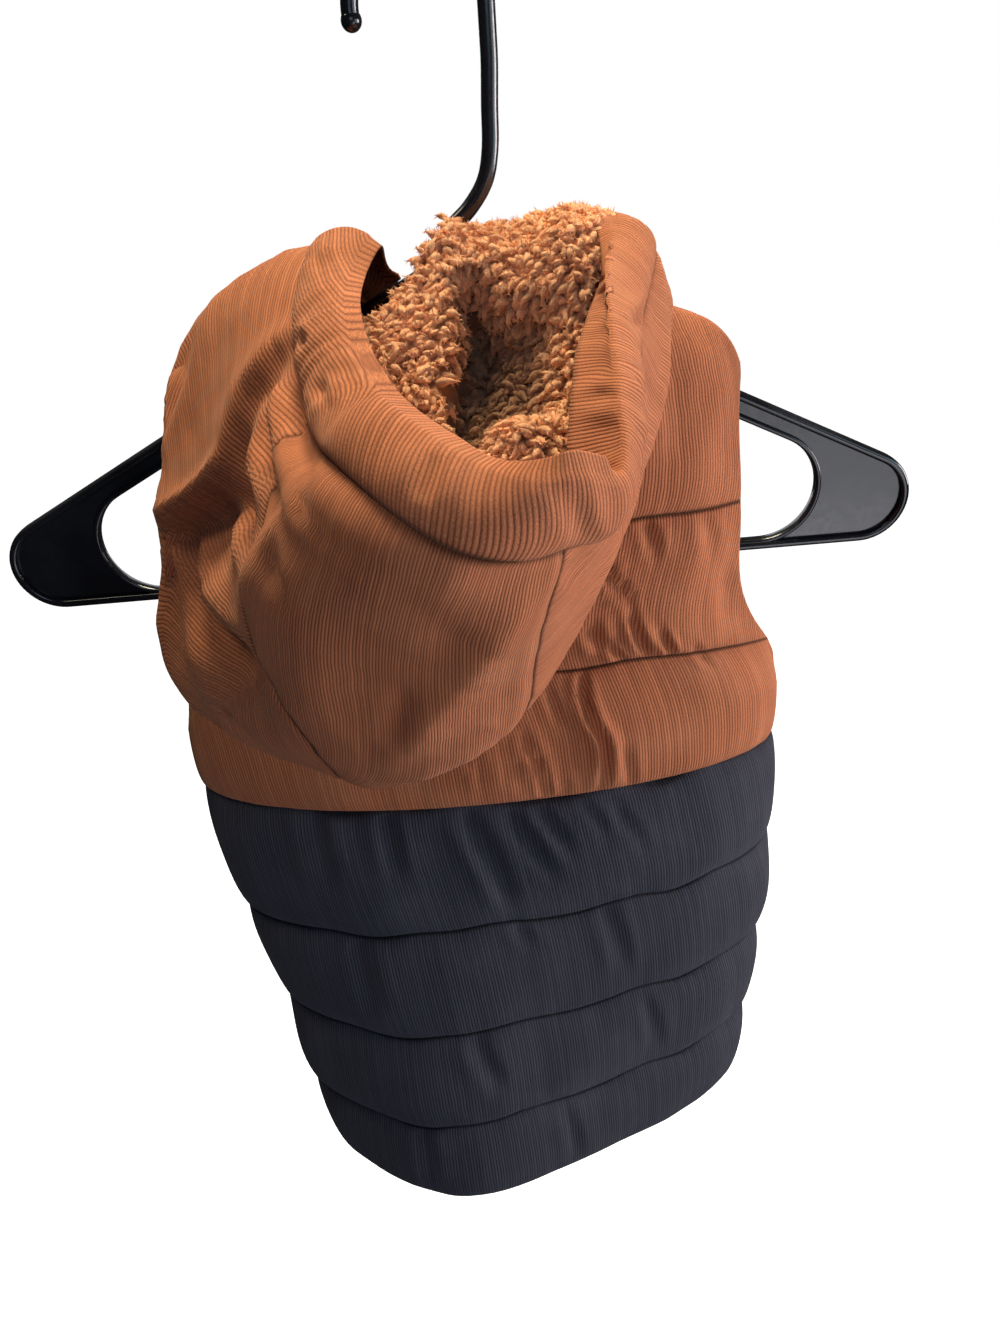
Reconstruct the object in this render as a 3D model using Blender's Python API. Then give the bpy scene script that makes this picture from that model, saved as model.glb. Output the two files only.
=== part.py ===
# A child's hooded puffer vest in corduroy, quilted in level channels, on a moulded hanger.
#
# Frame: +Z up, the wearer would face -Y, so the back and the fallen hood are towards +Y and
# the wearer's left is +X. The origin is the inside top of the hanger's hook, where a rail
# bears. Sizes are worked in millimetres and written to the meshes in metres.
import bmesh
import bpy
import numpy as np
from mathutils import Matrix

MM = 0.001
GAP = 0.3              # between two pieces at a seam

# ---- driving sizes of the vest --------------------------------------------------------
HEM = -590.0           # heights are below the hook
COLOUR_SEAM = -340.0
UPPER_LINES = (COLOUR_SEAM, -278.0, -213.0)             # quilting lines of the rust half
LOWER_LINES = (HEM, -530.0, -468.0, -405.0, COLOUR_SEAM)
PUFF = 6.0             # how far a channel swells out of its quilting lines
WALL = 4.0             # cloth, wadding and lining where a quilting line pinches them
SHOULDER_TOP = -95.0   # height of the shoulder line over the middle
SHOULDER_FALL = 0.39   # its fall for each mm sideways
SHOULDER_ROLL = 110.0  # the distance below the shoulder in which the body rounds out
NECK_HALF = 54.0
BACK_NECK_DROP = 18.0
FRONT_NECK_DROP = 62.0
FULLNESS = 0.9         # 1 makes the sections ellipses, less makes them fuller at the corners
TOP_SMOOTHING = (-300.0, -240.0)  # between these heights the cloth starts to lean inwards

# Level sections of the body. height, centre_x, centre_y, half_width, back_depth,
# front_depth, turn in degrees, and how far the cloth bellies out left of the back's middle
SECTIONS = np.array((
    (-590, -8, 2, 123, 55, 58, 8, 18),
    (-530, -10, 5, 129, 53, 60, 7.5, 16),
    (-468, -10, 4, 134, 53, 62, 6, 11),
    (-405, -6, 2, 141, 54, 62, 4.5, 4),
    (-340, 0, -9, 147, 58, 61, 1, 0),
    (-278, 0, -12, 145, 49, 58, 0, 0),
    (-213, -1, -10, 142, 42, 52, 0, 0),
    (-165, -3, -9, 137, 38, 46, 0, 0),
    (-100, -2, -8, 126, 34, 38, 0, 0),
), float)
BELLY_AT = 68.0        # degrees round the section
BELLY_WIDE = 27.0

# Armhole edges, in degrees round the section from its side. height, back_edge, front_edge
ARMHOLE = np.array((
    (-312, 0.15, 0.15),
    (-300, 8.0, 10.0),
    (-278, 20.0, 24.0),
    (-250, 28.0, 34.0),
    (-213, 33.0, 38.0),
    (-165, 33.0, 37.0),
    (-140, 27.0, 29.0),
    (-110, 20.0, 22.0),
), float)

# ---- driving sizes of the hood --------------------------------------------------------
SHELL = 5.0            # corduroy and wadding of the hood's panels
CASING_WIDE = 24.0     # the padded roll round the opening
CASING_THICK = 7.0
CASING_SWELL = 3.0
PILE_THICK = 9.0       # the sherpa lining: backing and curls

# The fallen hood as lines that run from its rim outwards, down and back under to the neck.
# name, rim, upper, belly, roll, under, neck
HOOD_LINES = (
    ("front left", (8, -50, -147), (9, -55, -155), (10, -58, -163), (11, -59, -169),
     (12, -58, -173), (12, -56, -175)),
    ("left throat", (26, -32, -114), (38, -38, -118), (49, -42, -124), (55, -43, -131),
     (54, -41, -137), (50, -38, -138)),
    ("left collar", (26, 10, -95), (62, 0, -97), (91, -2, -110), (110, 3, -134),
     (88, -1, -123), (58, -1, -113)),
    ("left shoulder", (31, 50, -101), (67, 48, -119), (96, 44, -150), (119, 36, -172),
     (98, 24, -150), (53, 9, -118)),
    ("left drape", (31, 88, -107), (65, 82, -135), (95, 68, -175), (125, 52, -206),
     (96, 40, -190), (48, 17, -122)),
    ("left fold", (26, 120, -115), (61, 108, -145), (94, 94, -197), (128, 60, -245),
     (90, 46, -215), (42, 22, -127)),
    ("left side", (19, 140, -121), (55, 145, -151), (80, 122, -196), (107, 84, -264),
     (72, 50, -226), (34, 26, -130)),
    ("left seam", (12, 155, -124), (46, 168, -148), (63, 160, -189), (53, 105, -282),
     (42, 54, -230), (26, 28, -131)),
    ("centre left", (0, 173, -129), (24, 188, -154), (34, 170, -200), (37, 106, -283),
     (28, 55, -231), (17, 29, -132)),
    ("centre", (-11, 182, -134), (7, 196, -161), (12, 168, -208), (21, 110, -278),
     (14, 55, -229), (8, 29, -132)),
    ("centre right", (-24, 186, -136), (-11, 190, -168), (-6, 156, -215), (1, 112, -268),
     (0, 55, -223), (0, 29, -132)),
    ("right seam", (-35, 183, -137), (-26, 172, -178), (-21, 148, -212), (-17, 112, -251),
     (-13, 54, -215), (-9, 29, -132)),
    ("right corner", (-46, 172, -142), (-43, 156, -170), (-40, 134, -194), (-36, 105, -225),
     (-28, 53, -202), (-18, 28, -131)),
    ("right fold", (-49, 150, -131), (-56, 132, -154), (-55, 116, -175), (-53, 98, -197),
     (-41, 50, -187), (-27, 26, -130)),
    ("right side", (-51, 118, -119), (-61, 104, -136), (-66, 90, -155), (-67, 80, -174),
     (-52, 44, -169), (-36, 23, -128)),
    ("right collar", (-56, 72, -105), (-70, 62, -117), (-77, 56, -135), (-80, 50, -151),
     (-63, 33, -146), (-45, 18, -123)),
    ("right collar side", (-63, 26, -93), (-75, 20, -98), (-85, 12, -110), (-88, 4, -124),
     (-76, -2, -120), (-58, -1, -113)),
    ("right throat", (-38, -30, -108), (-49, -37, -112), (-57, -41, -121), (-60, -42, -131),
     (-56, -41, -137), (-50, -38, -138)),
    ("front right", (-8, -50, -147), (-9, -55, -155), (-10, -58, -163), (-11, -59, -169),
     (-12, -58, -173), (-12, -56, -175)),
)

# The sherpa lining in the hood's mouth, from the inside of its near wall over the far wall
# to the neck. y, height, x of its right end, x of its left end
LINING_ROWS = np.array((
    (159, -150, -24, -2),
    (152, -168, -23, 4),
    (139, -183, -22, 8),
    (125, -176, -26, 11),
    (109, -162, -31, 14),
    (91, -146, -33, 17),
    (72, -130, -36, 18),
    (55, -114, -39, 18),
    (39, -100, -44, 10),
    (27, -94, -49, 0),
    (17, -95, -51, -4),
    (10, -104, -49, -8),
    (9, -120, -42, -12),
), float)

# ---- driving sizes of the hanger ------------------------------------------------------
HANGER_X = 3.4         # its middle
HANGER_HALF = 204.0
HANGER_APEX = -105.5
HANGER_BAR = -242.0
ARM_FALL = 0.503
ARM_DEEP = 10.5        # across the arm
BAR_DEEP = 4.5
RIM = 3.6              # the raised edge of the moulding
LIP = 2.4              # the raised edge round its opening
RIM_HALF = 4.0         # half thicknesses, front to back
LIP_HALF = 2.8
WEB_HALF = 1.2
WEB_INSET = 1.0        # the web stops this far inside the rim's outer edge
HOOK_WIRE = 3.3        # radius
HOOK_RADIUS = 24.5     # to the middle of the wire

# ---- driving sizes of the zip ---------------------------------------------------------
ZIP_HALF = 4.4         # half the gap between the fronts
TAPE_WIDE = 13.0
TAPE_THICK = 1.2
TAPE_SET_IN = 1.0      # behind the fronts' inner face
ZIP_TOP = -184.0
SLIDER_AT = -200.0
SLIDER = (7.6, 2.0, 13.0)
BRIDGE_HIGH = 4.4
PULL_WIRE = 1.2
PULL_LONG = 27.0


# ---- curves and grids -----------------------------------------------------------------
def smooth(knots, values, at):
    """Cubic curve through values; its slope at a knot is that of the chord across it."""
    knots = np.asarray(knots, float)
    values = np.asarray(values, float)
    at = np.asarray(at, float)
    slope = np.gradient(values, knots, axis=0)
    i = np.clip(np.searchsorted(knots, at, side="right") - 1, 0, len(knots) - 2)
    more = at.shape + (1,) * (values.ndim - 1)
    step = (knots[i + 1] - knots[i]).reshape(more)
    t = (at - knots[i]).reshape(more) / step
    return ((2 * t**3 - 3 * t**2 + 1) * values[i] + (t**3 - 2 * t**2 + t) * step * slope[i]
            + (3 * t**2 - 2 * t**3) * values[i + 1] + (t**3 - t**2) * step * slope[i + 1])


def shoulder(x):
    """Height of the shoulder line at x."""
    return SHOULDER_TOP - SHOULDER_FALL * np.abs(x)


def body(angle, height):
    """Points of the body at its quilting lines. angle 0 is the wearer's left, 90 the back."""
    angle, height = np.broadcast_arrays(np.radians(angle), height)
    at = smooth(SECTIONS[:, 0], SECTIONS[:, 1:], height)
    centre_x, centre_y, half_width, back, front, turn, belly = np.moveaxis(at, -1, 0)
    turn = np.radians(turn)
    cos, sin = np.cos(angle), np.sin(angle)
    across = half_width * np.sign(cos) * np.abs(cos) ** FULLNESS
    out = np.where(sin > 0, back, front) * np.sign(sin) * np.abs(sin) ** FULLNESS
    out += belly * np.exp(-((np.degrees(angle) - BELLY_AT) / BELLY_WIDE) ** 2)
    x = centre_x + across * np.cos(turn) - out * np.sin(turn)
    y = centre_y + across * np.sin(turn) + out * np.cos(turn)
    below = np.clip((shoulder(x) - height) / SHOULDER_ROLL, 0, 1)
    return np.stack([x, y * np.sqrt(1 - (1 - below) ** 2), height], axis=-1)


def outward(grid, away_from):
    """Unit normals of a grid of points, turned to point away from a line of points."""
    along = np.gradient(grid, axis=0)
    across = np.gradient(grid, axis=1)
    normal = np.cross(along, across)
    normal /= np.maximum(np.linalg.norm(normal, axis=-1, keepdims=True), 1e-9)
    inside = ((grid - away_from) * normal).sum(axis=-1) < 0
    return -normal if inside.mean() > 0.5 else normal


def ease(low, high, at):
    """0 below low, 1 above high, smooth between."""
    t = np.clip((at - low) / (high - low), 0, 1)
    return t * t * (3 - 2 * t)


# ---- meshes ---------------------------------------------------------------------------
def material(name, colour, roughness, metallic=0.0):
    made = bpy.data.materials.new(name)
    made.use_nodes = True
    shader = made.node_tree.nodes["Principled BSDF"]
    shader.inputs["Base Color"].default_value = (*colour, 1.0)
    shader.inputs["Roughness"].default_value = roughness
    shader.inputs["Metallic"].default_value = metallic
    return made


def piece(name, points, faces, finish):
    """One closed mesh, its points given in millimetres."""
    mesh = bpy.data.meshes.new(name)
    mesh.from_pydata([tuple(p) for p in np.asarray(points, float) * MM], [], faces)
    shaped = bmesh.new()
    shaped.from_mesh(mesh)
    bmesh.ops.recalc_face_normals(shaped, faces=shaped.faces)
    shaped.to_mesh(mesh)
    shaped.free()
    mesh.shade_smooth()
    mesh.set_sharp_from_angle(angle=0.7)
    mesh.materials.append(finish)
    made = bpy.data.objects.new(name, mesh)
    bpy.context.scene.collection.objects.link(made)
    return made


def wall(name, outer, inner, finish):
    """A closed wall between two grids of the same size."""
    rows, columns = outer.shape[:2]
    near = np.arange(rows * columns).reshape(rows, columns)
    far = near + rows * columns
    faces = []
    for i in range(rows - 1):
        for j in range(columns - 1):
            faces.append((near[i, j], near[i, j + 1], near[i + 1, j + 1], near[i + 1, j]))
            faces.append((far[i, j], far[i + 1, j], far[i + 1, j + 1], far[i, j + 1]))
    ring = ([(i, 0) for i in range(rows)] + [(rows - 1, j) for j in range(1, columns)]
            + [(i, columns - 1) for i in range(rows - 2, -1, -1)]
            + [(0, j) for j in range(columns - 2, 0, -1)])
    for a, b in zip(ring, ring[1:] + ring[:1]):
        faces.append((near[a], near[b], far[b], far[a]))
    points = np.concatenate([outer.reshape(-1, 3), inner.reshape(-1, 3)])
    return piece(name, points, [tuple(int(v) for v in f) for f in faces], finish)


def prism(name, outline, half, finish=None):
    """An outline in x and z, given a thickness of half either side of y = 0."""
    outline = np.asarray(outline, float)
    count = len(outline)
    front = np.column_stack([outline[:, 0], np.full(count, -half), outline[:, 1]])
    back = front * (1, -1, 1)
    faces = [tuple(range(count)), tuple(range(2 * count - 1, count - 1, -1))]
    faces += [(i, (i + 1) % count, count + (i + 1) % count, count + i) for i in range(count)]
    return piece(name, np.concatenate([front, back]), faces, finish or PLASTIC)


def helper(made):
    made.hide_render = True
    made.display_type = "WIRE"
    return made


def boolean(made, other, operation):
    step = made.modifiers.new(other.name, "BOOLEAN")
    step.operation = operation
    step.object = helper(other)
    step.solver = "EXACT"


def moved_edge(outline, by):
    """A closed outline with each point moved to its left; these outlines run clockwise, so a
    positive amount grows them."""
    before = outline - np.roll(outline, 1, axis=0)
    after = np.roll(outline, -1, axis=0) - outline
    before /= np.linalg.norm(before, axis=1, keepdims=True)
    after /= np.linalg.norm(after, axis=1, keepdims=True)
    side = np.column_stack([-(before + after)[:, 1], (before + after)[:, 0]])
    side /= np.linalg.norm(side, axis=1, keepdims=True)
    lean = np.sqrt((1 + (before * after).sum(axis=1)) / 2)
    return outline + side * (by / np.maximum(lean, 0.5))[:, None]


# ---- the vest's panels ----------------------------------------------------------------
BACK_COLUMNS = 16
FRONT_COLUMNS = 10
SIDE_FADE = 0.22       # share of a panel's width in which its puff dies away
SIDE_SEAM_SINE = 0.02  # an edge this near the side seam faces straight sideways
CHANNEL_STEPS = (0.0, 0.13, 0.5, 0.87)
TOP_STEPS = (0, 0.15, 0.4, 0.65, 0.85, 0.95, 1)   # from the last quilting line to the shoulder


def channel_rows(lines, steps=CHANNEL_STEPS):
    """(channel number, share of the way up it) for each row of points, the last line too."""
    rows = [(k, step) for k in range(len(lines) - 1) for step in steps]
    return rows + [(len(lines) - 2, 1.0)]


def swell(share):
    """Share of the full puff, at a share of the way up a channel: a rounded pillow."""
    return (1 - np.abs(2 * np.asarray(share) - 1) ** 2.4) ** 0.6


def side_fade(columns):
    """The puff dies away at both side edges of a panel."""
    share = np.linspace(0, 1, columns)
    return ease(0, SIDE_FADE, share) * ease(0, SIDE_FADE, 1 - share)


def neckline(x, drop):
    """Height of a panel's top edge: the shoulder line, and the neck's curve between."""
    curve = np.sqrt(np.clip(1 - (x / NECK_HALF) ** 2, 0, 1))
    return np.where(np.abs(x) < NECK_HALF, shoulder(NECK_HALF) - drop * curve, shoulder(x))


def panel(name, lines, angles, columns, finish, neck_drop=None):
    """A quilted panel. angles(height) gives its two edges round the section, in degrees."""
    rows = channel_rows(lines)
    if neck_drop is not None:
        rows = rows[:-1] + [(len(lines) - 1, step) for step in TOP_STEPS]
    share = np.array([step for _, step in rows])[:, None]
    number = np.array([k for k, _ in rows])
    lines = np.array(lines, float)
    low = lines[number][:, None]
    top = np.append(lines[1:], shoulder(NECK_HALF))[number][:, None]
    top = np.repeat(top, columns, axis=1)
    last = np.repeat(number[:, None] == len(lines) - 1, columns, axis=1)
    across = np.linspace(0, 1, columns)[None, :]
    for _ in range(6 if neck_drop is not None else 1):
        height = low + share * (top - low)
        height[0] += GAP / 2
        height[-1] -= GAP / 2
        first, second = angles(height)
        base = body(first + across * (second - first), height)
        if neck_drop is not None:
            top = np.where(last, neckline(base[..., 0], neck_drop), top)
    normal = outward(base, np.array([0.0, base[..., 1].mean() * 0.2, -400.0]))
    level = base[..., 2] < TOP_SMOOTHING[0]
    lean = ease(*TOP_SMOOTHING, base[..., 2]) * ~level
    normal[..., 2] *= lean
    normal /= np.linalg.norm(normal, axis=-1, keepdims=True)
    turn = np.radians(smooth(SECTIONS[:, 0], SECTIONS[:, 6], height[:, 0]))
    for column, edge in ((0, first), (-1, second)):
        edge = np.radians(edge[:, column])
        sideways = np.column_stack([np.cos(turn), np.sin(turn), np.zeros(len(turn))])
        sideways *= np.sign(np.cos(edge))[:, None]
        at_side_seam = np.abs(np.sin(edge)) < SIDE_SEAM_SINE
        normal[:, column][at_side_seam] = sideways[at_side_seam]
    puff = PUFF * swell(share) * side_fade(columns)[None, :]
    outer = base + normal * puff[..., None]
    inner = base - normal * WALL
    if neck_drop is not None:
        side = np.sign(base[..., 1].mean())
        arm = HANGER_APEX - ARM_FALL * np.abs(base[..., 0] - HANGER_X)
        beside_arm = ease(0, 6, arm + 15 - base[..., 2])
        clear = GAP / 2 + (RIM_HALF + 0.4 - GAP / 2) * beside_arm
        upper = base[..., 2] > -200
        for grid in (outer, inner):
            kept = np.maximum(grid[..., 1] * side, clear) * side
            grid[..., 1] = np.where(upper, kept, grid[..., 1])
    return wall(name, outer, inner, finish)


def armhole(height, edge):
    """Degrees from the section's side to an armhole edge; edge 1 is the back's, 2 the front's."""
    return smooth(ARMHOLE[:, 0], ARMHOLE[:, edge], np.maximum(height, ARMHOLE[0, 0]))


def back_edges(height):
    return armhole(height, 1), 180 - armhole(height, 1)


def zip_edge(height, side):
    """Degrees from the front's middle to the edge of a front, beside the zip."""
    half_width = smooth(SECTIONS[:, 0], SECTIONS[:, 3], height)
    return side * np.degrees(np.arcsin((ZIP_HALF / half_width) ** (1 / FULLNESS)))


def left_front_edges(height):
    return 270 + zip_edge(height, 1), 360 - armhole(height, 2)


def right_front_edges(height):
    return 180 + armhole(height, 2), 270 + zip_edge(height, -1)


def build_body():
    panel("back_lower", LOWER_LINES, back_edges, BACK_COLUMNS, NAVY)
    panel("back_upper", UPPER_LINES, back_edges, BACK_COLUMNS, RUST, BACK_NECK_DROP)
    for side, edges in (("left", left_front_edges), ("right", right_front_edges)):
        panel(f"front_{side}_lower", LOWER_LINES, edges, FRONT_COLUMNS, NAVY)
        panel(f"front_{side}_upper", UPPER_LINES, edges, FRONT_COLUMNS, RUST,
              FRONT_NECK_DROP)


# ---- the hood -------------------------------------------------------------------------
STEPS_BETWEEN = 3      # columns from one hood line to the next
PANEL_ROWS = 15
HOOD_GAP = 1.0         # at the hood's seams, whose ends lean
CASING_ROWS = 5


def hood_lines():
    """The hood's lines as fine curves, with columns between them: [column, point, xyz]."""
    table = np.array([line[1:] for line in HOOD_LINES], float)
    count = len(table)
    columns = np.linspace(0, count - 1, (count - 1) * STEPS_BETWEEN + 1)
    table = smooth(np.arange(count), table, columns)
    return np.moveaxis(smooth(np.arange(6), np.moveaxis(table, 1, 0), np.linspace(0, 5, 101)),
                       0, 1)


def at_lengths(values, run, lengths):
    """Values at distances along each line. run and lengths are [column, row]."""
    return np.array([[np.interp(want, far, line[:, k]) for k in range(3)]
                     for line, far, want in zip(values, run, lengths)]).transpose(0, 2, 1)


def hood_normals(lines, outside):
    """Normals of the hood's fine lines; outside is one point that the rim's front faces."""
    normal = np.cross(np.gradient(lines, axis=0), np.gradient(lines, axis=1))
    normal /= np.maximum(np.linalg.norm(normal, axis=-1, keepdims=True), 1e-9)
    middle = lines.shape[0] // 2, 5
    return normal * np.sign((normal[middle] * (np.array(outside) - lines[middle])).sum())


def build_hood():
    lines = hood_lines()
    normals = hood_normals(lines, (20.0, 400.0, 100.0))
    steps = np.linalg.norm(np.diff(lines, axis=1), axis=2)
    run = np.concatenate([np.zeros((len(lines), 1)), np.cumsum(steps, axis=1)], axis=1)
    whole = run[:, -1:]
    casing_wide = np.minimum(CASING_WIDE, 0.5 * whole)
    share = np.linspace(0, 1, CASING_ROWS)[None, :]
    band, normal = (at_lengths(grid, run, casing_wide * share) for grid in (lines, normals))
    bulge = CASING_SWELL * np.sin(np.pi * share) ** 0.7
    thick = CASING_THICK + (SHELL - CASING_THICK) * share ** 2
    wall("hood_casing", band + normal * bulge[..., None], band - normal * thick[..., None], RUST)
    start = casing_wide + HOOD_GAP
    share = np.linspace(0, 1, PANEL_ROWS)[None, :]
    lengths = start + (whole - start) * share
    shell, normal = (at_lengths(grid, run, lengths) for grid in (lines, normals))
    seams = [0, 7 * STEPS_BETWEEN, 11 * STEPS_BETWEEN, len(lines) - 1]
    names = ("hood_left", "hood_centre", "hood_right")
    for name, first, last in zip(names, seams[:-1], seams[1:]):
        part = shell[first:last + 1].copy()
        inner = part - normal[first:last + 1] * SHELL
        for grid in (part, inner):
            for edge, inward, at_seam in ((0, 1, first > 0), (-1, -2, last < len(lines) - 1)):
                if at_seam:
                    way = grid[inward] - grid[edge]
                    way /= np.linalg.norm(way, axis=-1, keepdims=True)
                    grid[edge] += way * HOOD_GAP / 2
        wall(name, part, inner, RUST)


LINING_COLUMNS = 15
NECK_SEAT = 1.5        # the lining's foot stands this far above the back's neckline


def build_lining():
    """The sherpa: rows across the mouth, with two lobes and the deep valley between them."""
    y, height, right, left = (LINING_ROWS[:, k][:, None] for k in range(4))
    share = np.linspace(0, 1, LINING_COLUMNS)[None, :]
    x = right + (left - right) * share
    valley = np.exp(-((x + 21) / 9) ** 2) * ease(15, 60, y) * (1 - ease(120, 150, y))
    lobe = np.exp(-((x - 4) / 14) ** 2) + 0.8 * np.exp(-((x + 46) / 13) ** 2)
    rise = 6 * lobe * ease(20, 45, y) * (1 - ease(110, 150, y)) - 26 * valley
    top = np.stack([x, np.broadcast_to(y, x.shape), height + rise], axis=-1)
    top[-1, :, 2] = neckline(top[-1, :, 0], BACK_NECK_DROP) + NECK_SEAT
    normal = outward(top, np.array([-20.0, 60.0, -400.0]))
    wall("hood_lining", top, top - normal * PILE_THICK, SHERPA)


# ---- the zip --------------------------------------------------------------------------
def build_zip():
    height = np.linspace(HEM + 2, ZIP_TOP, 14)
    for name, side in (("zip_tape_left", 1), ("zip_tape_right", -1)):
        offsets = side * np.array([GAP / 2, ZIP_HALF, TAPE_WIDE])
        half_width = smooth(SECTIONS[:, 0], SECTIONS[:, 3], height)
        grid = []
        for offset in offsets:
            angle = np.degrees(np.arcsin((abs(offset) / half_width) ** (1 / FULLNESS)))
            grid.append(body(270 + side * angle, height))
        grid = np.array(grid)
        grid[..., 1] += WALL + TAPE_SET_IN
        back = grid.copy()
        back[..., 1] += TAPE_THICK
        wall(name, grid, back, TAPE)
    near, far = body(np.full(2, 270.0), np.array([SLIDER_AT, SLIDER_AT - PULL_LONG]))
    lean = np.arctan2(near[1] - far[1], near[2] - far[2])
    build_slider(near, lean)


def block(name, centre, size, finish):
    """A box, by its centre and its size."""
    half = np.array(size) / 2
    corners = np.array([(i, j, k) for i in (-1, 1) for j in (-1, 1) for k in (-1, 1)]) * half
    faces = [(0, 1, 3, 2), (4, 6, 7, 5), (0, 4, 5, 1), (2, 3, 7, 6), (0, 2, 6, 4), (1, 5, 7, 3)]
    return piece(name, corners + np.array(centre), faces, finish)


def build_slider(at, lean):
    """The slider with its bridge, and the pull tab whose bar is held under the bridge."""
    wide, thick, tall = SLIDER
    holder = bpy.data.objects.new("slider_place", None)
    bpy.context.scene.collection.objects.link(holder)
    holder.location = at * MM
    holder.rotation_euler = (-lean, 0, 0)
    slider = block("zip_slider", (0, -thick / 2 + 1, 0), SLIDER, METAL)
    face = -thick + 1
    for k, rise in enumerate((-1, 1)):
        post = block(f"bridge_post_{k}", (0, face - BRIDGE_HIGH / 2 + 0.5, rise * tall * 0.36),
                     (2.4, BRIDGE_HIGH + 1, 1.6), METAL)
        boolean(slider, post, "UNION")
        post.parent = holder
    span = block("bridge_span", (0, face - BRIDGE_HIGH + 0.7, 0), (2.2, 1.4, tall * 0.8), METAL)
    boolean(slider, span, "UNION")
    span.parent = holder
    bar_y = face - BRIDGE_HIGH / 2 + 0.35
    pull = block("zip_pull", (0, bar_y, 0), (7.4, PULL_WIRE, PULL_WIRE), METAL)
    for k, side in enumerate((-1, 1)):
        leg = block(f"pull_leg_{k}", (side * 3.1, bar_y, -4.6),
                    (1.2, PULL_WIRE * 0.96, 9.6), METAL)
        boolean(pull, leg, "UNION")
        leg.parent = holder
    tab_outline = [(-3.7, -8.4), (3.7, -8.4), (4.2, -12), (4.2, 2.5 - PULL_LONG),
                   (2.5, -PULL_LONG), (-2.5, -PULL_LONG), (-4.2, 2.5 - PULL_LONG), (-4.2, -12)]
    tab = prism("pull_tab", tab_outline, PULL_WIRE / 2, METAL)
    tab.data.transform(Matrix.Translation((0, bar_y * MM, 0)))
    boolean(pull, tab, "UNION")
    tab.parent = holder
    slider.parent = holder
    pull.parent = holder


# ---- the hanger -----------------------------------------------------------------------
def arc(centre, radius, first, last, count):
    angle = np.radians(np.linspace(first, last, count))
    return np.column_stack([centre[0] + radius * np.cos(angle),
                            centre[1] + radius * np.sin(angle)])


def both_sides(half):
    """A closed outline from its right half, which starts and ends near the middle."""
    return np.concatenate([half, half[::-1] * (-1, 1)]) + (HANGER_X, 0)


def end_round(top, floor, reach):
    """The round that meets the arm's line, a level floor and an upright at x = reach."""
    slope = np.hypot(1, ARM_FALL)
    # The round's radius r: its middle lies r in from the upright, above the floor, and
    # below the arm's line z = top - ARM_FALL x.
    radius = (top - ARM_FALL * reach - floor) / (1 + slope - ARM_FALL)
    return (reach - radius, floor + radius), radius


def build_hanger():
    lean = np.degrees(np.arctan(ARM_FALL))
    centre, radius = end_round(HANGER_APEX, HANGER_BAR, HANGER_HALF)
    outer = both_sides(np.concatenate([
        [(6.0, HANGER_APEX - ARM_FALL * 6.0)], arc(centre, radius, 90 - lean, -90, 14),
        [(40.0, HANGER_BAR)]]))
    drop = ARM_DEEP * np.hypot(1, ARM_FALL)
    centre, radius = end_round(HANGER_APEX - drop, HANGER_BAR + BAR_DEEP, HANGER_HALF - 42.5)
    hole = both_sides(np.concatenate([
        [(5.0, HANGER_APEX - drop - 3.0)], arc(centre, radius, 90 - lean, -90, 12),
        [(40.0, HANGER_BAR + BAR_DEEP)]]))
    frame = prism("hanger", moved_edge(outer, -WEB_INSET), WEB_HALF)
    rim = prism("hanger_rim", outer, RIM_HALF)
    recess = prism("hanger_recess", moved_edge(outer, -RIM), 3 * RIM_HALF)
    lip = prism("hanger_lip", moved_edge(hole, LIP), LIP_HALF)
    boolean(rim, recess, "DIFFERENCE")
    boolean(frame, rim, "UNION")
    boolean(frame, lip, "UNION")
    boolean(frame, hook(), "UNION")
    boolean(frame, prism("hanger_opening", hole, 3 * RIM_HALF), "DIFFERENCE")
    return frame


def hook():
    """The hook: three quarters of a ring, and a stem that swings back to the hanger's top."""
    ring = arc((0, HOOK_WIRE - HOOK_RADIUS), HOOK_RADIUS, -6, 180, 24)
    stem = np.array([(-24.2, -36), (-23, -52), (-22.3, -68), (-19.5, -79), (-13, -88),
                     (-5, -95), (1.5, -103), (3.4, -113)])
    points = np.concatenate([ring, stem])
    curve = bpy.data.curves.new("hanger_hook", "CURVE")
    curve.dimensions = "3D"
    curve.bevel_depth = HOOK_WIRE * MM
    curve.bevel_resolution = 3
    curve.use_fill_caps = True
    path = curve.splines.new("POLY")
    path.points.add(len(points) - 1)
    for point, (x, z) in zip(path.points, points):
        point.co = (x * MM, 0, z * MM, 1)
    guide = bpy.data.objects.new("hook_guide", curve)
    bpy.context.scene.collection.objects.link(guide)
    shape = bpy.data.meshes.new_from_object(guide)
    bpy.data.objects.remove(guide)
    made = bpy.data.objects.new("hanger_hook", shape)
    bpy.context.scene.collection.objects.link(made)
    return made


for old in list(bpy.data.objects):
    bpy.data.objects.remove(old, do_unlink=True)
RUST = material("rust corduroy", (0.40, 0.13, 0.045), 0.9)
NAVY = material("navy corduroy", (0.022, 0.028, 0.045), 0.9)
SHERPA = material("caramel sherpa", (0.50, 0.22, 0.07), 1.0)
TAPE = material("zip tape", (0.02, 0.022, 0.03), 0.9)
METAL = material("dark metal", (0.12, 0.11, 0.10), 0.35, 1.0)
PLASTIC = material("black plastic", (0.012, 0.012, 0.014), 0.25)
build_body()
build_hood()
build_lining()
build_zip()
build_hanger()
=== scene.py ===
# %% [markdown]
# # A hooded puffer vest on its hanger
# A small child's vest in fine-wale corduroy: rust above, navy below, quilted in level channels
# with wadding behind them. Its hood has fallen back, so the sherpa lining shows in the mouth.
# The vest hangs on a glossy moulded hanger, and is seen from behind and above.
#
# Sizes are worked in millimetres and go into the meshes in metres. +Z is up, the back is
# towards +Y, the wearer's left is +X, and the origin is the inside top of the hanger's hook.

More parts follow.
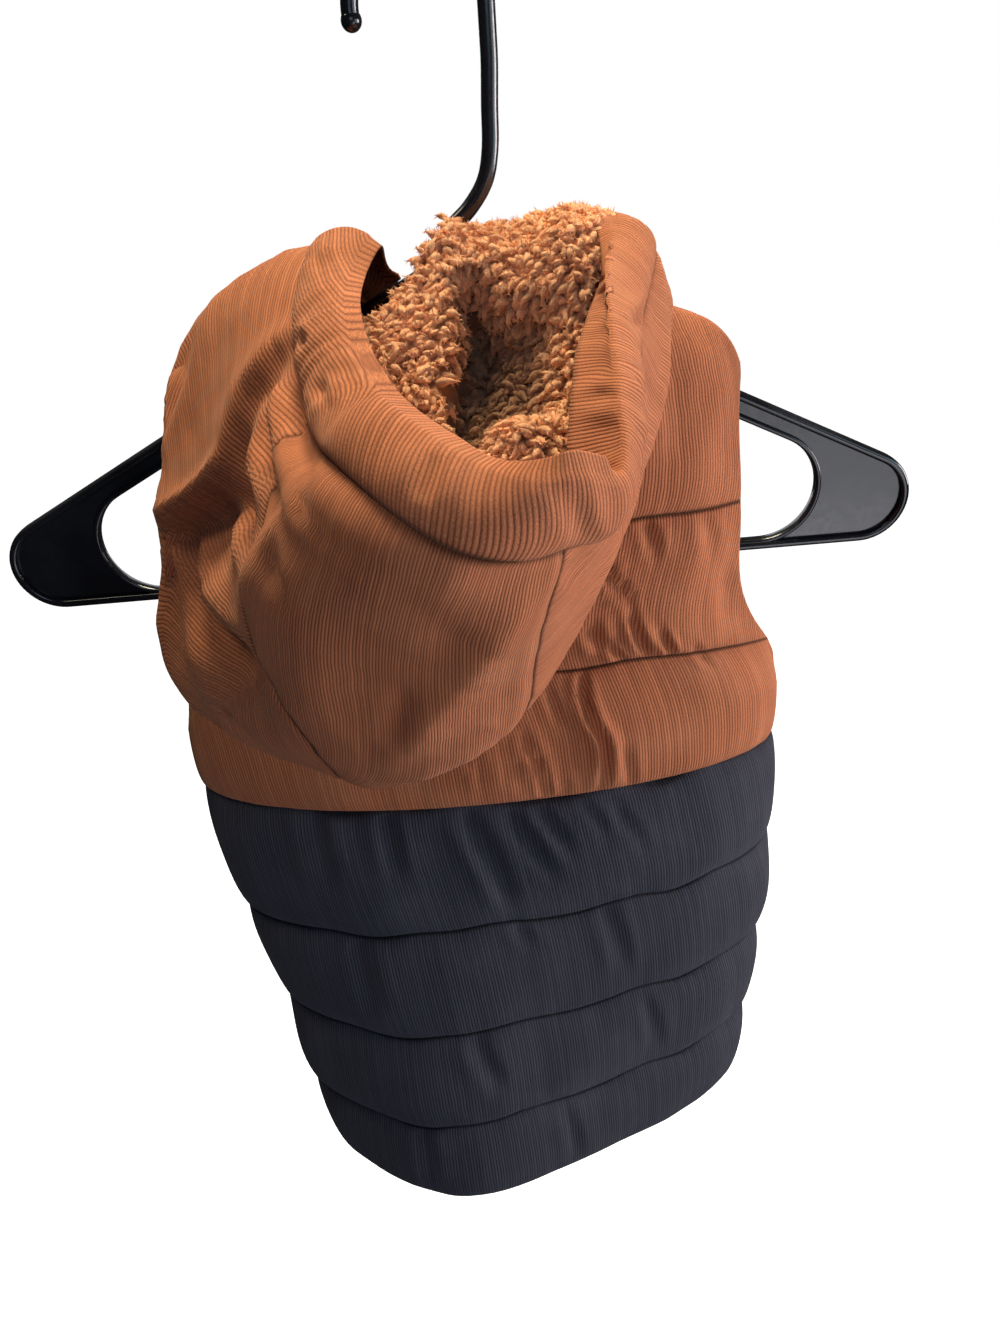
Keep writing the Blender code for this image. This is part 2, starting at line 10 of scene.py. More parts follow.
import bmesh
import bpy
import numpy as np
from mathutils import Matrix


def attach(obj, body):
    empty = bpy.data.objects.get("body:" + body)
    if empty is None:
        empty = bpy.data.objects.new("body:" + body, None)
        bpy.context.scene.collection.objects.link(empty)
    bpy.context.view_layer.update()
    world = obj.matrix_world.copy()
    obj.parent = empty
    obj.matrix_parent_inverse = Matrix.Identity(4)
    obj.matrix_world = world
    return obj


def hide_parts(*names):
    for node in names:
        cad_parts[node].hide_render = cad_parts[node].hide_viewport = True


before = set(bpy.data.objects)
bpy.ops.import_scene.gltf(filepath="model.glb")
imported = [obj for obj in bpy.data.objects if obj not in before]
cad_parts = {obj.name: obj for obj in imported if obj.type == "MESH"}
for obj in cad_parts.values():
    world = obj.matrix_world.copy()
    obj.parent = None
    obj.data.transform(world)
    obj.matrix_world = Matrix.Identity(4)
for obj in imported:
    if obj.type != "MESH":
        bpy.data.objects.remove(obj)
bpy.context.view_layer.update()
MM = 0.001                 # metres in a millimetre
VEST = "vest_on_hanger"    # the body that all but the pull tab rides on
print("pieces in the frame:", len(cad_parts))

# %% [markdown]
# ## The camera
# The photograph looks down on the back from close by. A short lens makes the near hood large
# and the far hem small, so the camera's distance matters as much as its direction. It also
# leans a little to one side, so its three axes are worked out one by one.

# %% The camera
WIDE, HIGH = 1000, 1329               # the photograph's dots across and down
CAMERA_AT = np.array([-9.6, 430.0, -54.6])
CAMERA_DOWN = np.radians(29.0)
CAMERA_ROLL = np.radians(4.8)
CAMERA_LENS, SENSOR = 27.17, 36.0     # in mm, the sensor along the picture's longer side
FOCAL = CAMERA_LENS / SENSOR * HIGH   # the lens in the photograph's dots

ahead = np.array([0.0, -np.cos(CAMERA_DOWN), -np.sin(CAMERA_DOWN)])
level_right = np.array([-1.0, 0.0, 0.0])
level_up = np.cross(level_right, ahead)
right = level_right * np.cos(CAMERA_ROLL) - level_up * np.sin(CAMERA_ROLL)
above = level_right * np.sin(CAMERA_ROLL) + level_up * np.cos(CAMERA_ROLL)


def stand(made, axes, at):
    """Puts an object at a place in metres, with its x, y and z along three directions."""
    matrix = np.eye(4)
    matrix[:3, :3] = np.column_stack(axes)
    matrix[:3, 3] = at
    made.matrix_world = Matrix(matrix.tolist())
    bpy.context.scene.collection.objects.link(made)


camera = bpy.data.objects.new("Camera", bpy.data.cameras.new("Camera"))
camera.data.lens = CAMERA_LENS
camera.data.clip_start = 0.01
stand(camera, (right, above, -ahead), CAMERA_AT * MM)
bpy.context.scene.camera = camera
print("camera at", CAMERA_AT, "mm, its lens", round(FOCAL), "dots")

# %% [markdown]
# Many details of the vest are set out where the photograph shows them. That takes two small
# functions: one says where a point shows in the photograph, and the other goes back from a
# dot of it to a point.

# %% To the photograph and back
def picture(points):
    """Places in the photograph, and how many mm one of its dots spans there.

    A point's offset from the camera, divided by its depth along the view, times the lens."""
    away = np.asarray(points, float) - CAMERA_AT
    depth = away @ ahead
    return (np.stack([WIDE / 2 + FOCAL * (away @ right) / depth,
                      HIGH / 2 - FOCAL * (away @ above) / depth], axis=-1), depth / FOCAL)


def placed(px, py, y):
    """The point with a given y that the photograph shows at a dot: the dot's ray, followed
    from the camera until it reaches that y."""
    px, py, y = np.broadcast_arrays(*(np.asarray(v, float) for v in (px, py, y)))
    ray = (ahead + ((px - WIDE / 2) / FOCAL)[..., None] * right
           + ((HIGH / 2 - py) / FOCAL)[..., None] * above)
    return CAMERA_AT + ray * ((y - CAMERA_AT[1]) / ray[..., 1])[..., None]


print("the hook's top shows at", picture((0, 0, 0))[0].round())

# %% [markdown]
# ## Trees of nodes
# A finish is a tree of nodes that ends in one shader. Each helper below adds one sort of node
# and feeds its inputs, so that a whole finish is a few lines that can be read.

# %% Small tools for node trees
def fed(tree, node, inputs):
    """Links each input to the output given for it, or sets it where that is a plain value."""
    for key, value in inputs.items():
        if hasattr(value, "is_output"):
            tree.links.new(value, node.inputs[key])
        else:
            node.inputs[key].default_value = value
    return node


def linked(tree, kind, inputs=(), **settings):
    """Adds a node, sets its properties and feeds its inputs."""
    node = tree.nodes.new(kind)
    for key, value in settings.items():
        setattr(node, key, value)
    return fed(tree, node, dict(inputs))


def maths(tree, operation, first, second=0.0, clamp=False):
    """Two numbers joined by an operation, held between 0 and 1 where clamp is set."""
    return linked(tree, "ShaderNodeMath", {0: first, 1: second}, operation=operation,
                  use_clamp=clamp).outputs[0]


def mapped(tree, value, low, high, to_low=0.0, to_high=1.0):
    """to_low up to low, to_high from high on, and a smooth step between them."""
    return linked(tree, "ShaderNodeMapRange", {0: value, 1: low, 2: high, 3: to_low, 4: to_high},
                  interpolation_type="SMOOTHSTEP").outputs[0]


def mixed(tree, factor, first, second, blend="MIX"):
    """Two colours, blended by first * (1 - factor) + second * factor or in another way."""
    return linked(tree, "ShaderNodeMix", {0: factor, 6: first, 7: second}, data_type="RGBA",
                  blend_type=blend).outputs[2]


def toned(tree, colour, tone):
    """A colour times a number."""
    grey = linked(tree, "ShaderNodeCombineXYZ", {0: tone, 1: tone, 2: tone}).outputs[0]
    return mixed(tree, 1.0, colour, grey, "MULTIPLY")


def noise(tree, place, scale, detail=2.0, roughness=0.5):
    """Soft noise between 0 and 1, with lumps about 1 / scale apart."""
    return linked(tree, "ShaderNodeTexNoise", {"Vector": place, "Scale": scale, "Detail": detail,
                                               "Roughness": roughness}).outputs["Fac"]


def threads(tree, place, scale, distortion, way):
    """Bands that rise and fall between 0 and 1, a little bent, across the way given."""
    return linked(tree, "ShaderNodeTexWave", {"Vector": place, "Scale": scale, "Detail": 1.0,
                                              "Distortion": distortion},
                  bands_direction=way).outputs["Fac"]


def bumped(tree, height, strength, distance):
    """A normal bent by a height between 0 and 1, where 1 stands for a distance in metres."""
    return linked(tree, "ShaderNodeBump", {"Height": height, "Strength": strength,
                                           "Distance": distance}).outputs[0]


def own_place(tree):
    """Where the shaded point lies on its piece."""
    return linked(tree, "ShaderNodeTexCoord").outputs["Object"]


def wales_map(tree):
    """The piece's UV map, across and along its wales."""
    return linked(tree, "ShaderNodeUVMap", {}, uv_map="wales").outputs[0]


def mark(tree, name):
    """One of the piece's own attributes, a number at each point."""
    return linked(tree, "ShaderNodeAttribute", {}, attribute_name=name).outputs["Fac"]


def principled(name):
    """A new material, its tree and its one shader."""
    made = bpy.data.materials.new(name)
    made.use_nodes = True
    return made, made.node_tree, made.node_tree.nodes["Principled BSDF"]


# %% [markdown]
# ## Light and floor
# The photograph has soft light from above and from the right, on white. A broad lamp high in
# front lights the shoulders and leaves the back below the hood in shade, a second one lights
# the right side, and weaker ones fill the shadows.

# %% The lamps
# name, place, what it faces, size, watts, colour
LAMPS = (
    ("Overhead", (-0.05, -0.3, 0.85), (0.0, 0.06, -0.25), 0.42, 20.5, (1.0, 0.90, 0.64)),
    ("Front", (0.1, -1.3, -0.1), (0.0, 0.0, -0.3), 0.9, 5.0, (0.92, 0.96, 1.0)),
    ("High left", (0.60, 0.0, 0.72), (0.0, 0.02, -0.25), 0.3, 3.0, (1.0, 0.90, 0.72)),
    ("Right side", (-1.20, 0.14, -0.16), (0.0, 0.08, -0.25), 0.5, 16.0, (1.0, 0.90, 0.88)),
    ("Window", (-0.60, 1.05, -0.62), (0.0, 0.05, -0.3), 0.55, 2.6, (0.92, 0.93, 1.0)),
    ("Low at the back", (-0.3, 1.0, -1.0), (0.0, 0.06, -0.3), 0.8, 2.8, (0.96, 0.93, 1.0)),
    ("Right and back", (-0.9, 0.6, -0.1), (0.0, 0.08, -0.25), 0.5, 2.4, (0.60, 0.85, 1.0)),
    ("Behind the camera", (-0.05, 0.95, 0.25), (0.0, 0.08, -0.3), 0.5, 1.5, (0.60, 0.72, 1.0)),
)


def lamp(name, at, towards, size, watts, colour):
    """A square lamp at a place in metres. It shines along its own -z, so its z points from
    what it faces back to the lamp."""
    made = bpy.data.objects.new(name, bpy.data.lights.new(name, "AREA"))
    made.data.size = size
    made.data.energy = watts
    made.data.color = colour
    made.visible_camera = False
    facing = np.array(at, float) - np.array(towards, float)
    facing /= np.linalg.norm(facing)
    side = np.cross((0.0, 0.0, 1.0) if abs(facing[2]) < 0.95 else (0.0, 1.0, 0.0), facing)
    side /= np.linalg.norm(side)
    stand(made, (side, np.cross(facing, side), facing), at)


for one in LAMPS:
    lamp(*one)
print("lamps:", len(LAMPS))

# %% [markdown]
# The vest stands before plain white. The surround shows white to the camera, but lights the
# vest only dimly, so that the lamps make the shade. The floor lies well below the hem and
# shows as white as the surround.

# %% The surround and the floor
FLOOR_AT, FLOOR_HALF = -1.15, 8.0    # in metres


def build_surround():
    """White where the camera looks, and a dim cool light from everywhere else."""
    world = bpy.data.worlds.new("Studio")
    world.use_nodes = True
    tree = world.node_tree
    tree.nodes.clear()
    seen = linked(tree, "ShaderNodeLightPath").outputs["Is Camera Ray"]
    dim, white = (linked(tree, "ShaderNodeBackground", {"Color": colour, "Strength": strength})
                  for colour, strength in (((0.86, 0.92, 1.0, 1.0), 0.025), ((1, 1, 1, 1), 1.0)))
    mix = linked(tree, "ShaderNodeMixShader", {0: seen, 1: dim.outputs[0], 2: white.outputs[0]})
    linked(tree, "ShaderNodeOutputWorld", {0: mix.outputs[0]})
    bpy.context.scene.world = world


def build_floor():
    """A broad square that glows white, and throws no light on the vest."""
    paint, tree, shader = principled("Floor")
    fed(tree, shader, {"Base Color": (0.8, 0.8, 0.8, 1), "Roughness": 0.9,
                       "Emission Color": (1.0, 1.0, 1.0, 1), "Emission Strength": 1.0})
    corners = [(x * FLOOR_HALF, y * FLOOR_HALF, FLOOR_AT)
               for x, y in ((-1, -1), (1, -1), (1, 1), (-1, 1))]
    mesh = bpy.data.meshes.new("Floor")
    mesh.from_pydata(corners, [], [(0, 1, 2, 3)])
    mesh.materials.append(paint)
    made = bpy.data.objects.new("Floor", mesh)
    made.visible_diffuse = False
    made.visible_glossy = False
    bpy.context.scene.collection.objects.link(made)


build_surround()
build_floor()
bpy.context.scene.view_settings.view_transform = "Standard"
print("the floor lies at", FLOOR_AT, "m")

# %% [markdown]
# ## Curves and grids
# Every cloth piece is a grid of points: rows one way, columns the other. These helpers make a
# smooth curve through a few knots, find a grid's normals and lengths, and ripple or blur it.

# %% Curves and grids
def smooth(knots, values, at):
    """Cubic curve through values; its slope at a knot is that of the chord across it."""
    knots, values, at = (np.asarray(v, float) for v in (knots, values, at))
    slope = np.gradient(values, knots, axis=0)
    i = np.clip(np.searchsorted(knots, at, side="right") - 1, 0, len(knots) - 2)
    more = at.shape + (1,) * (values.ndim - 1)
    step = (knots[i + 1] - knots[i]).reshape(more)
    t = (at - knots[i]).reshape(more) / step
    return ((2 * t**3 - 3 * t**2 + 1) * values[i] + (t**3 - 2 * t**2 + t) * step * slope[i]
            + (3 * t**2 - 2 * t**3) * values[i + 1] + (t**3 - t**2) * step * slope[i + 1])


def ease(low, high, at):
    """0 below low, 1 above high, smooth between."""
    t = np.clip((at - low) / (high - low), 0, 1)
    return t * t * (3 - 2 * t)


def normals_of(grid):
    """Unit normals of a grid: the cross product of its two directions at each point."""
    normal = np.cross(np.gradient(grid, axis=0), np.gradient(grid, axis=1))
    return normal / np.maximum(np.linalg.norm(normal, axis=-1, keepdims=True), 1e-9)


def lengths_along(grid, axis):
    """How far each point lies along the grid, measured from its first row or column."""
    steps = np.linalg.norm(np.diff(grid, axis=axis), axis=-1)
    start = np.zeros_like(np.take(steps, [0], axis=axis))
    return np.concatenate([start, np.cumsum(steps, axis=axis)], axis=axis)


FULL_TURN = 6.283    # in radians


def waves(u, v, seed, length):
    """Uneven ripples between about -1 and 1: nine sine waves that run different ways, each
    0.7 to 1.45 times as long as asked for."""
    chance = np.random.default_rng(seed)
    total = np.zeros(np.broadcast(u, v).shape)
    for _ in range(9):
        way, phase, stretch = chance.uniform(0, FULL_TURN, 3)
        long = length * (0.7 + 0.12 * stretch)
        total = total + np.sin(FULL_TURN * (u * np.cos(way) + v * np.sin(way)) / long + phase)
    return total / 4.5


def blurred(grid, times):
    """A grid whose inner points go 0.6 of the way to the mean of their four neighbours, as
    many times as asked for."""
    grid = grid.copy()
    for _ in range(times):
        mean = (grid[:-2, 1:-1] + grid[2:, 1:-1] + grid[1:-1, :-2] + grid[1:-1, 2:]) / 4
        grid[1:-1, 1:-1] += 0.6 * (mean - grid[1:-1, 1:-1])
    return grid


def tube_faces(rings, sides, closed=False):
    """The four-sided faces of a tube whose points come ring by ring. Where it is closed, the
    last ring joins the first."""
    i = np.arange(rings if closed else rings - 1)[:, None] * sides
    j = (i + sides) % (rings * sides)
    k = np.arange(sides)
    m = (k + 1) % sides
    return np.stack([i + k, i + m, j + m, j + k], axis=-1).reshape(-1, 4)


# %% [markdown]
# A crease is drawn where the photograph shows it, as a short path in the picture. Each point
# of the cloth finds its distance to that path, and sinks or rises by a rounded profile of it,
# so the crease stays on the cloth and is real from every side.

# %% Creases
def facing_camera(grid, normal):
    """The cosine between each normal and the way from there to the camera."""
    way = CAMERA_AT - grid
    return (way * normal).sum(axis=-1) / np.linalg.norm(way, axis=-1)


def beside_path(grid, path):
    """Signed distance in mm of each point from a path in the picture, and the share of the
    path's length at its nearest place. It is positive to the left of a path that runs down."""
    places, dot = picture(grid)
    path = np.asarray(path, float)
    best = np.full(dot.shape, 1e9)
    signed = np.zeros(dot.shape)
    share = np.zeros(dot.shape)
    far = np.concatenate([[0], np.cumsum(np.linalg.norm(np.diff(path, axis=0), axis=1))])
    for k, (a, b) in enumerate(zip(path[:-1], path[1:])):
        run = b - a
        t = np.clip(((places - a) @ run) / (run @ run), 0, 1)
        off = places - (a + t[..., None] * run)
        distance = np.linalg.norm(off, axis=-1)
        nearer = distance < best
        turn = np.sign(run[0] * off[..., 1] - run[1] * off[..., 0])
        best = np.where(nearer, distance, best)
        signed = np.where(nearer, distance * turn, signed)
        share = np.where(nearer, (far[k] + t * (far[k + 1] - far[k])) / far[-1], share)
    return signed * dot, share


def crease(grid, normal, path, width, depth, lip):
    """How far a crease moves each point along its normal, in mm.

    The valley is -depth * exp(-(distance / width)^2). A lip of lip * depth is raised 1.7
    widths away on both sides, and both fade out towards the path's ends."""
    signed, share = beside_path(grid, path)
    signed = signed / width
    beside = np.exp(-((np.abs(signed) - 1.7) / 0.9) ** 2)
    fade = np.clip(4 * share * (1 - share), 0, 1) ** 0.6
    facing = ease(0.0, 0.3, facing_camera(grid, normal))
    return depth * fade * facing * (lip * beside - np.exp(-signed ** 2))


def creased(grid, normal, creases):
    """The sum of a list of creases, each (path, width, depth, lip)."""
    return sum((crease(grid, normal, *one) for one in creases), np.zeros(grid.shape[:2]))


def fold(grid, normal, path, side, drop, steep, reach):
    """How far a fold moves each point: on one side of its edge the cloth falls sharply and
    comes back slowly, by -drop (1 - exp(-(d / steep)^2)) exp(-(d / reach)^2) at distance d,
    and a low rim stands on the edge."""
    signed, share = beside_path(grid, path)
    beyond = np.clip(signed * side, 0, None)
    fade = np.clip(4 * share * (1 - share), 0, 1) ** 0.5
    facing = ease(0.0, 0.3, facing_camera(grid, normal))
    rim = 0.18 * np.exp(-(signed / (1.4 * steep)) ** 2)
    return drop * fade * facing * (rim - (1 - np.exp(-(beyond / steep) ** 2))
                                   * np.exp(-(beyond / reach) ** 2))


# %% [markdown]
# The wales of a cut panel run straight in the cloth, and bend with it on the vest. The
# photograph shows which way they run at many places. Those marks are carried onto the panel,
# and least squares over all its edges then finds the distance across the wales, so that
# neighbouring wales stay nearly as far apart as they are in the cloth.

# %% Wales from marks
def wales_across(grid, normal, marks):
    """Distance across the wales, in mm, at each point of a grid.

    A mark is (across, down) in the picture and the wale's way there. At a point the way is
    the marks' mean, weighted by 1 / (distance^2 + 150)^2; across it the distance grows by 1 mm
    a mm, along it not at all. The field is solved three times, the second and third time
    for the last one's ways with slopes of one length, because the ways can't all be met. Its
    middling slope is then made exactly 1."""
    places = picture(grid)[0]
    seen = facing_camera(grid, normal) > 0
    slopes = [np.gradient(field, axis=axis) for field in (grid, places) for axis in (0, 1)]
    marks = np.asarray(marks, float)
    at, way = np.zeros((2, len(marks), 3))
    for k, (across, down, dx, dy) in enumerate(marks):
        far = np.hypot(places[..., 0] - across, places[..., 1] - down) + 1e4 * ~seen
        i, j = np.unravel_index(far.argmin(), far.shape)
        part = np.linalg.lstsq(np.column_stack([slopes[2][i, j], slopes[3][i, j]]),
                               np.array([dx, dy]), rcond=0.05)[0]
        at[k] = grid[i, j]
        way[k] = part[0] * slopes[0][i, j] + part[1] * slopes[1][i, j]
    way /= np.linalg.norm(way, axis=1, keepdims=True)
    weight = 1 / (((grid[..., None, :] - at) ** 2).sum(axis=-1) + 150) ** 2
    run = (weight[..., None] * way).sum(axis=-2)
    run -= normal * (run * normal).sum(axis=-1, keepdims=True)
    run /= np.maximum(np.linalg.norm(run, axis=-1, keepdims=True), 1e-9)
    wanted = np.cross(normal, run)
    trust = 0.25 + 0.75 * ease(-0.05, 0.25, facing_camera(grid, normal))
    found = np.zeros(grid.shape[:2])
    for _ in range(3):
        found = best_field(grid, slopes[:2], wanted, trust, found)
        wanted, length = slope_of(found, *slopes[:2])
    return found / np.median(length[seen])


# %% [markdown]
# The solver looks at two things. The slope says how fast a field of numbers grows over the
# cloth, and which way. The best field is the one whose change along every edge of the grid is
# nearest to what the wanted slope asks for, found by conjugate gradients.

# %% Slopes and the best field
MOST_STEPS, SOLVED = 600, 1e-7


def slope_of(field, down, over):
    """The unit vector in the cloth along which a field grows fastest, and how fast."""
    aa, ab, bb = ((x * y).sum(axis=-1) for x, y in ((down, down), (down, over), (over, over)))
    grows = np.gradient(field, axis=0), np.gradient(field, axis=1)
    size = np.maximum(aa * bb - ab * ab, 1e-6)
    vector = (((bb * grows[0] - ab * grows[1]) / size)[..., None] * down
              + ((aa * grows[1] - ab * grows[0]) / size)[..., None] * over)
    length = np.maximum(np.linalg.norm(vector, axis=-1), 1e-6)
    return vector / length[..., None], length


def best_field(grid, slopes, wanted, trust, found):
    """Least squares over the grid's edges, by conjugate gradients: the field whose change
    along each edge is nearest to the edge's dot product with the wanted slope. The places
    that the photograph shows count the most, and the search starts from the field given."""
    size = [np.maximum(np.linalg.norm(s, axis=-1), 0.05) for s in slopes]
    stiff = [(trust * np.clip(size[1] / size[0], 0.05, 20))[1:],
             (trust * np.clip(size[0] / size[1], 0.05, 20))[:, 1:]]
    wish = [(np.diff(grid, axis=0) * (wanted[1:] + wanted[:-1]) / 2).sum(axis=-1),
            (np.diff(grid, axis=1) * (wanted[:, 1:] + wanted[:, :-1]) / 2).sum(axis=-1)]

    def gathered(down, over):
        """What a value on each edge adds up to at the points that the edges join."""
        total = np.zeros(grid.shape[:2])
        total[1:] += stiff[0] * down
        total[:-1] -= stiff[0] * down
        total[:, 1:] += stiff[1] * over
        total[:, :-1] -= stiff[1] * over
        return total

    left = gathered(*(w - np.diff(found, axis=k) for k, w in enumerate(wish)))
    step, size_left = left, (left ** 2).sum()
    for _ in range(MOST_STEPS):
        pulled = gathered(np.diff(step, axis=0), np.diff(step, axis=1))
        length = size_left / (step * pulled).sum()
        found, left = found + length * step, left - length * pulled
        before, size_left = size_left, (left ** 2).sum()
        if size_left < SOLVED:
            break
        step = left + size_left / before * step
    return found


# %% [markdown]
# The same solver unrolls a panel: one field runs across the wales and one along them, and
# their spans are the size of the cloth that the panel was cut from.

# %% Flat sizes
def flat_size(grid, normal, across):
    """Width and length in metres of the rectangle that the flattened cloth would fill: the
    spans of its coordinates across and along the wales. The second one is solved like the
    first, and divided by its middling slope."""
    slopes = [np.gradient(grid, axis=axis) for axis in (0, 1)]
    turned = np.cross(slope_of(across, *slopes)[0], normal)
    along = np.zeros(across.shape)
    for _ in range(4):
        along = best_field(grid, slopes, turned, np.ones(across.shape), along)
    length = np.median(slope_of(along, *slopes)[1])
    return np.ptp(across) * MM, np.ptp(along) / length * MM


# %% [markdown]
# ## Walls
# Each cloth piece is a closed wall between two grids. It gets a UV map in metres, across
# along the cloth's wales, and an attribute of painted shade, which is 1 in the grooves of the
# stitched seams and high in the sherpa's valley. The materials read both, so a rib is as wide on
# every piece.

# %% Pieces and walls
def new_piece(name, points, faces, finishes, marks=()):
    """A piece of the vest from points in mm and faces. A mark is a name and a number for
    each point, which the finishes can read."""
    mesh = bpy.data.meshes.new(name)
    mesh.from_pydata((points * MM).tolist(), [], faces)
    for finish in finishes:
        mesh.materials.append(finish)
    for label, values in marks:
        number = mesh.attributes.new(label, "FLOAT", "POINT")
        number.data.foreach_set("value", values.astype(np.float32))
    made = bpy.data.objects.new(name, mesh)
    bpy.context.scene.collection.objects.link(made)
    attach(made, VEST)
    print(name, len(mesh.loops) - 2 * len(mesh.polygons), "triangles")
    return made


def face_out(mesh, merge=0.0):
    """Turns every face outwards, once points that lie closer than merge have been joined."""
    shaped = bmesh.new()
    shaped.from_mesh(mesh)
    if merge:
        bmesh.ops.remove_doubles(shaped, verts=shaped.verts, dist=merge)
    bmesh.ops.recalc_face_normals(shaped, faces=shaped.faces)
    shaped.to_mesh(mesh)
    shaped.free()


def wall(name, outer, inner, across, along, painted_shade, finishes):
    """A closed wall between two grids, joined round their edges. Its UV map is (across,
    along). Where there are two finishes, the inner side takes the second."""
    rows, columns = outer.shape[:2]
    near = np.arange(rows * columns).reshape(rows, columns)
    a, b, c, d = near[:-1, :-1], near[:-1, 1:], near[1:, 1:], near[1:, :-1]
    front = np.stack([a, b, c, d], axis=-1).reshape(-1, 4)
    back = np.stack([a, d, c, b], axis=-1).reshape(-1, 4) + near.size
    ring = np.concatenate([near[:-1, 0], near[-1, :-1], near[:0:-1, -1], near[0, :0:-1]])
    after = np.roll(ring, -1)
    edge = np.stack([ring, after, after + near.size, ring + near.size], axis=-1)
    points = np.concatenate([outer.reshape(-1, 3), inner.reshape(-1, 3)])
    # the mark of painted shade goes on both sides of the wall
    made = new_piece(name, points, np.concatenate([front, back, edge]).tolist(), finishes,
                     [("painted_shade", np.tile(painted_shade.ravel(), 2))])
    mesh = made.data
    mesh.shade_smooth()
    finish = np.zeros(len(mesh.polygons), int)
    finish[len(front):2 * len(front)] = len(finishes) - 1
    mesh.polygons.foreach_set("material_index", finish)
    corner = np.zeros(len(mesh.loops), np.int32)
    mesh.loops.foreach_get("vertex_index", corner)
    flat = np.tile(np.stack([across.ravel(), along.ravel()], axis=-1) * MM, (2, 1))
    mesh.uv_layers.new(name="wales").uv.foreach_set("vector", flat[corner].ravel())
    face_out(mesh)
    return made


# %% [markdown]
# ## Corduroy
# Corduroy is a pile cloth whose pile stands in ribs, the wales, about 1.4 mm apart here. The
# ribs catch the light, and the ground between them is dark, partly by its own colour and partly
# by painted shade in the grooves. One node group makes both from the distance across the wales,
# and every corduroy piece uses it with its own colours.

# %% The corduroy group
WALE_PITCH = 0.00141    # metres from one wale to the next
NUMBER, VECTOR, COLOUR = "NodeSocketFloat", "NodeSocketVector", "NodeSocketColor"


def new_group(name, inputs, outputs):
    """An empty node group with inputs (name, kind, value) and outputs (name, kind)."""
    group = bpy.data.node_groups.new(name, "ShaderNodeTree")
    for label, kind, value in inputs:
        socket = group.interface.new_socket(label, in_out="INPUT", socket_type=kind)
        if value is not None:
            socket.default_value = value
    for label, kind in outputs:
        group.interface.new_socket(label, in_out="OUTPUT", socket_type=kind)
    return group, group.nodes.new("NodeGroupInput").outputs, group.nodes.new("NodeGroupOutput")


def build_corduroy():
    """Colour, height and roughness of a ribbed pile cloth.

    The rib is 1 - |2t - 1|^2.2 over the share t of the way across one wale, and the rib's
    colour takes over from the ground's by its power 1.3. The pile's own noise is drawn out
    along the wale, each wale has its own tone, and a second noise makes soft rubbed patches.
    The colour falls to 0.22 of itself by painted shade where the mark is 1, in the grooves of the
    stitched seams."""
    group, given, result = new_group(
        "Corduroy",
        [("Wales", VECTOR, None), ("Place", VECTOR, None), ("Seam", NUMBER, 0.0),
         ("Rib", COLOUR, (0.5, 0.2, 0.1, 1)), ("Ground", COLOUR, (0.1, 0.04, 0.02, 1)),
         ("Rubbed", COLOUR, (0.6, 0.3, 0.15, 1)), ("Pitch", NUMBER, WALE_PITCH)],
        [("Color", COLOUR), ("Height", NUMBER), ("Roughness", NUMBER)])
    split = linked(group, "ShaderNodeSeparateXYZ", {0: given["Wales"]}).outputs
    wander = maths(group, "MULTIPLY", noise(group, given["Place"], 90.0, 1.0), 0.0007)
    count = maths(group, "DIVIDE", maths(group, "ADD", split[0], wander), given["Pitch"])
    off = maths(group, "MULTIPLY", maths(group, "FRACT", count), 2.0)
    off = maths(group, "ABSOLUTE", maths(group, "SUBTRACT", off, 1.0))
    rib = maths(group, "SUBTRACT", 1.0, maths(group, "POWER", off, 2.2), clamp=True)
    drawn = linked(group, "ShaderNodeCombineXYZ",
                   {0: maths(group, "MULTIPLY", split[0], 4200.0),
                    1: maths(group, "MULTIPLY", split[1], 1500.0), 2: 0.0}).outputs[0]
    pile = noise(group, drawn, 1.0, 2.0, 0.6)
    own = linked(group, "ShaderNodeTexWhiteNoise", {"W": maths(group, "FLOOR", count)},
                 noise_dimensions="1D").outputs["Value"]
    patches = mapped(group, noise(group, given["Place"], 26.0, 3.0, 0.55), 0.42, 0.72)
    colour = mixed(group, maths(group, "POWER", rib, 1.3), given["Ground"], given["Rib"])
    colour = mixed(group, maths(group, "MULTIPLY", patches, 0.35), colour, given["Rubbed"])
    tone = maths(group, "ADD", mapped(group, pile, 0.25, 0.75, 0.62, 1.30),
                 mapped(group, own, 0.0, 1.0, -0.10, 0.10))
    # painted shade: where the mark is 1 the colour falls to 0.22 of itself
    painted_stitch_shade = mapped(group, given["Seam"], 0.0, 1.0, 1.0, 0.22)
    fed(group, result, {"Color": toned(group, toned(group, colour, tone), painted_stitch_shade),
                        "Height": maths(group, "ADD", rib, maths(group, "MULTIPLY", pile, 0.35)),
                        "Roughness": mapped(group, pile, 0.2, 0.8, 0.82, 0.98)})
    return group


CORDUROY = build_corduroy()
print("corduroy group:", len(CORDUROY.nodes), "nodes")

# %% [markdown]
# The vest has two corduroys. The rust one's ribs are worn pale on the tops and its sheen is
# warm, and the navy one is nearly black, with a faint cold sheen.

# %% Corduroy in two colours
def corduroy(name, rib, ground, rubbed, sheen, tint):
    """The group's colour, height and roughness, with soft sheen over them."""
    made, tree, shader = principled(name)
    cloth = linked(tree, "ShaderNodeGroup",
                   {"Wales": wales_map(tree), "Place": own_place(tree),
                    "Seam": mark(tree, "painted_shade"), "Rib": (*rib, 1), "Ground": (*ground, 1),
                    "Rubbed": (*rubbed, 1)}, node_tree=CORDUROY).outputs
    fed(tree, shader, {"Base Color": cloth["Color"], "Roughness": cloth["Roughness"],
                       "Normal": bumped(tree, cloth["Height"], 0.42, 0.0005),
                       "Sheen Weight": sheen, "Sheen Roughness": 0.45,
                       "Sheen Tint": (*tint, 1), "Specular IOR Level": 0.15})
    return made
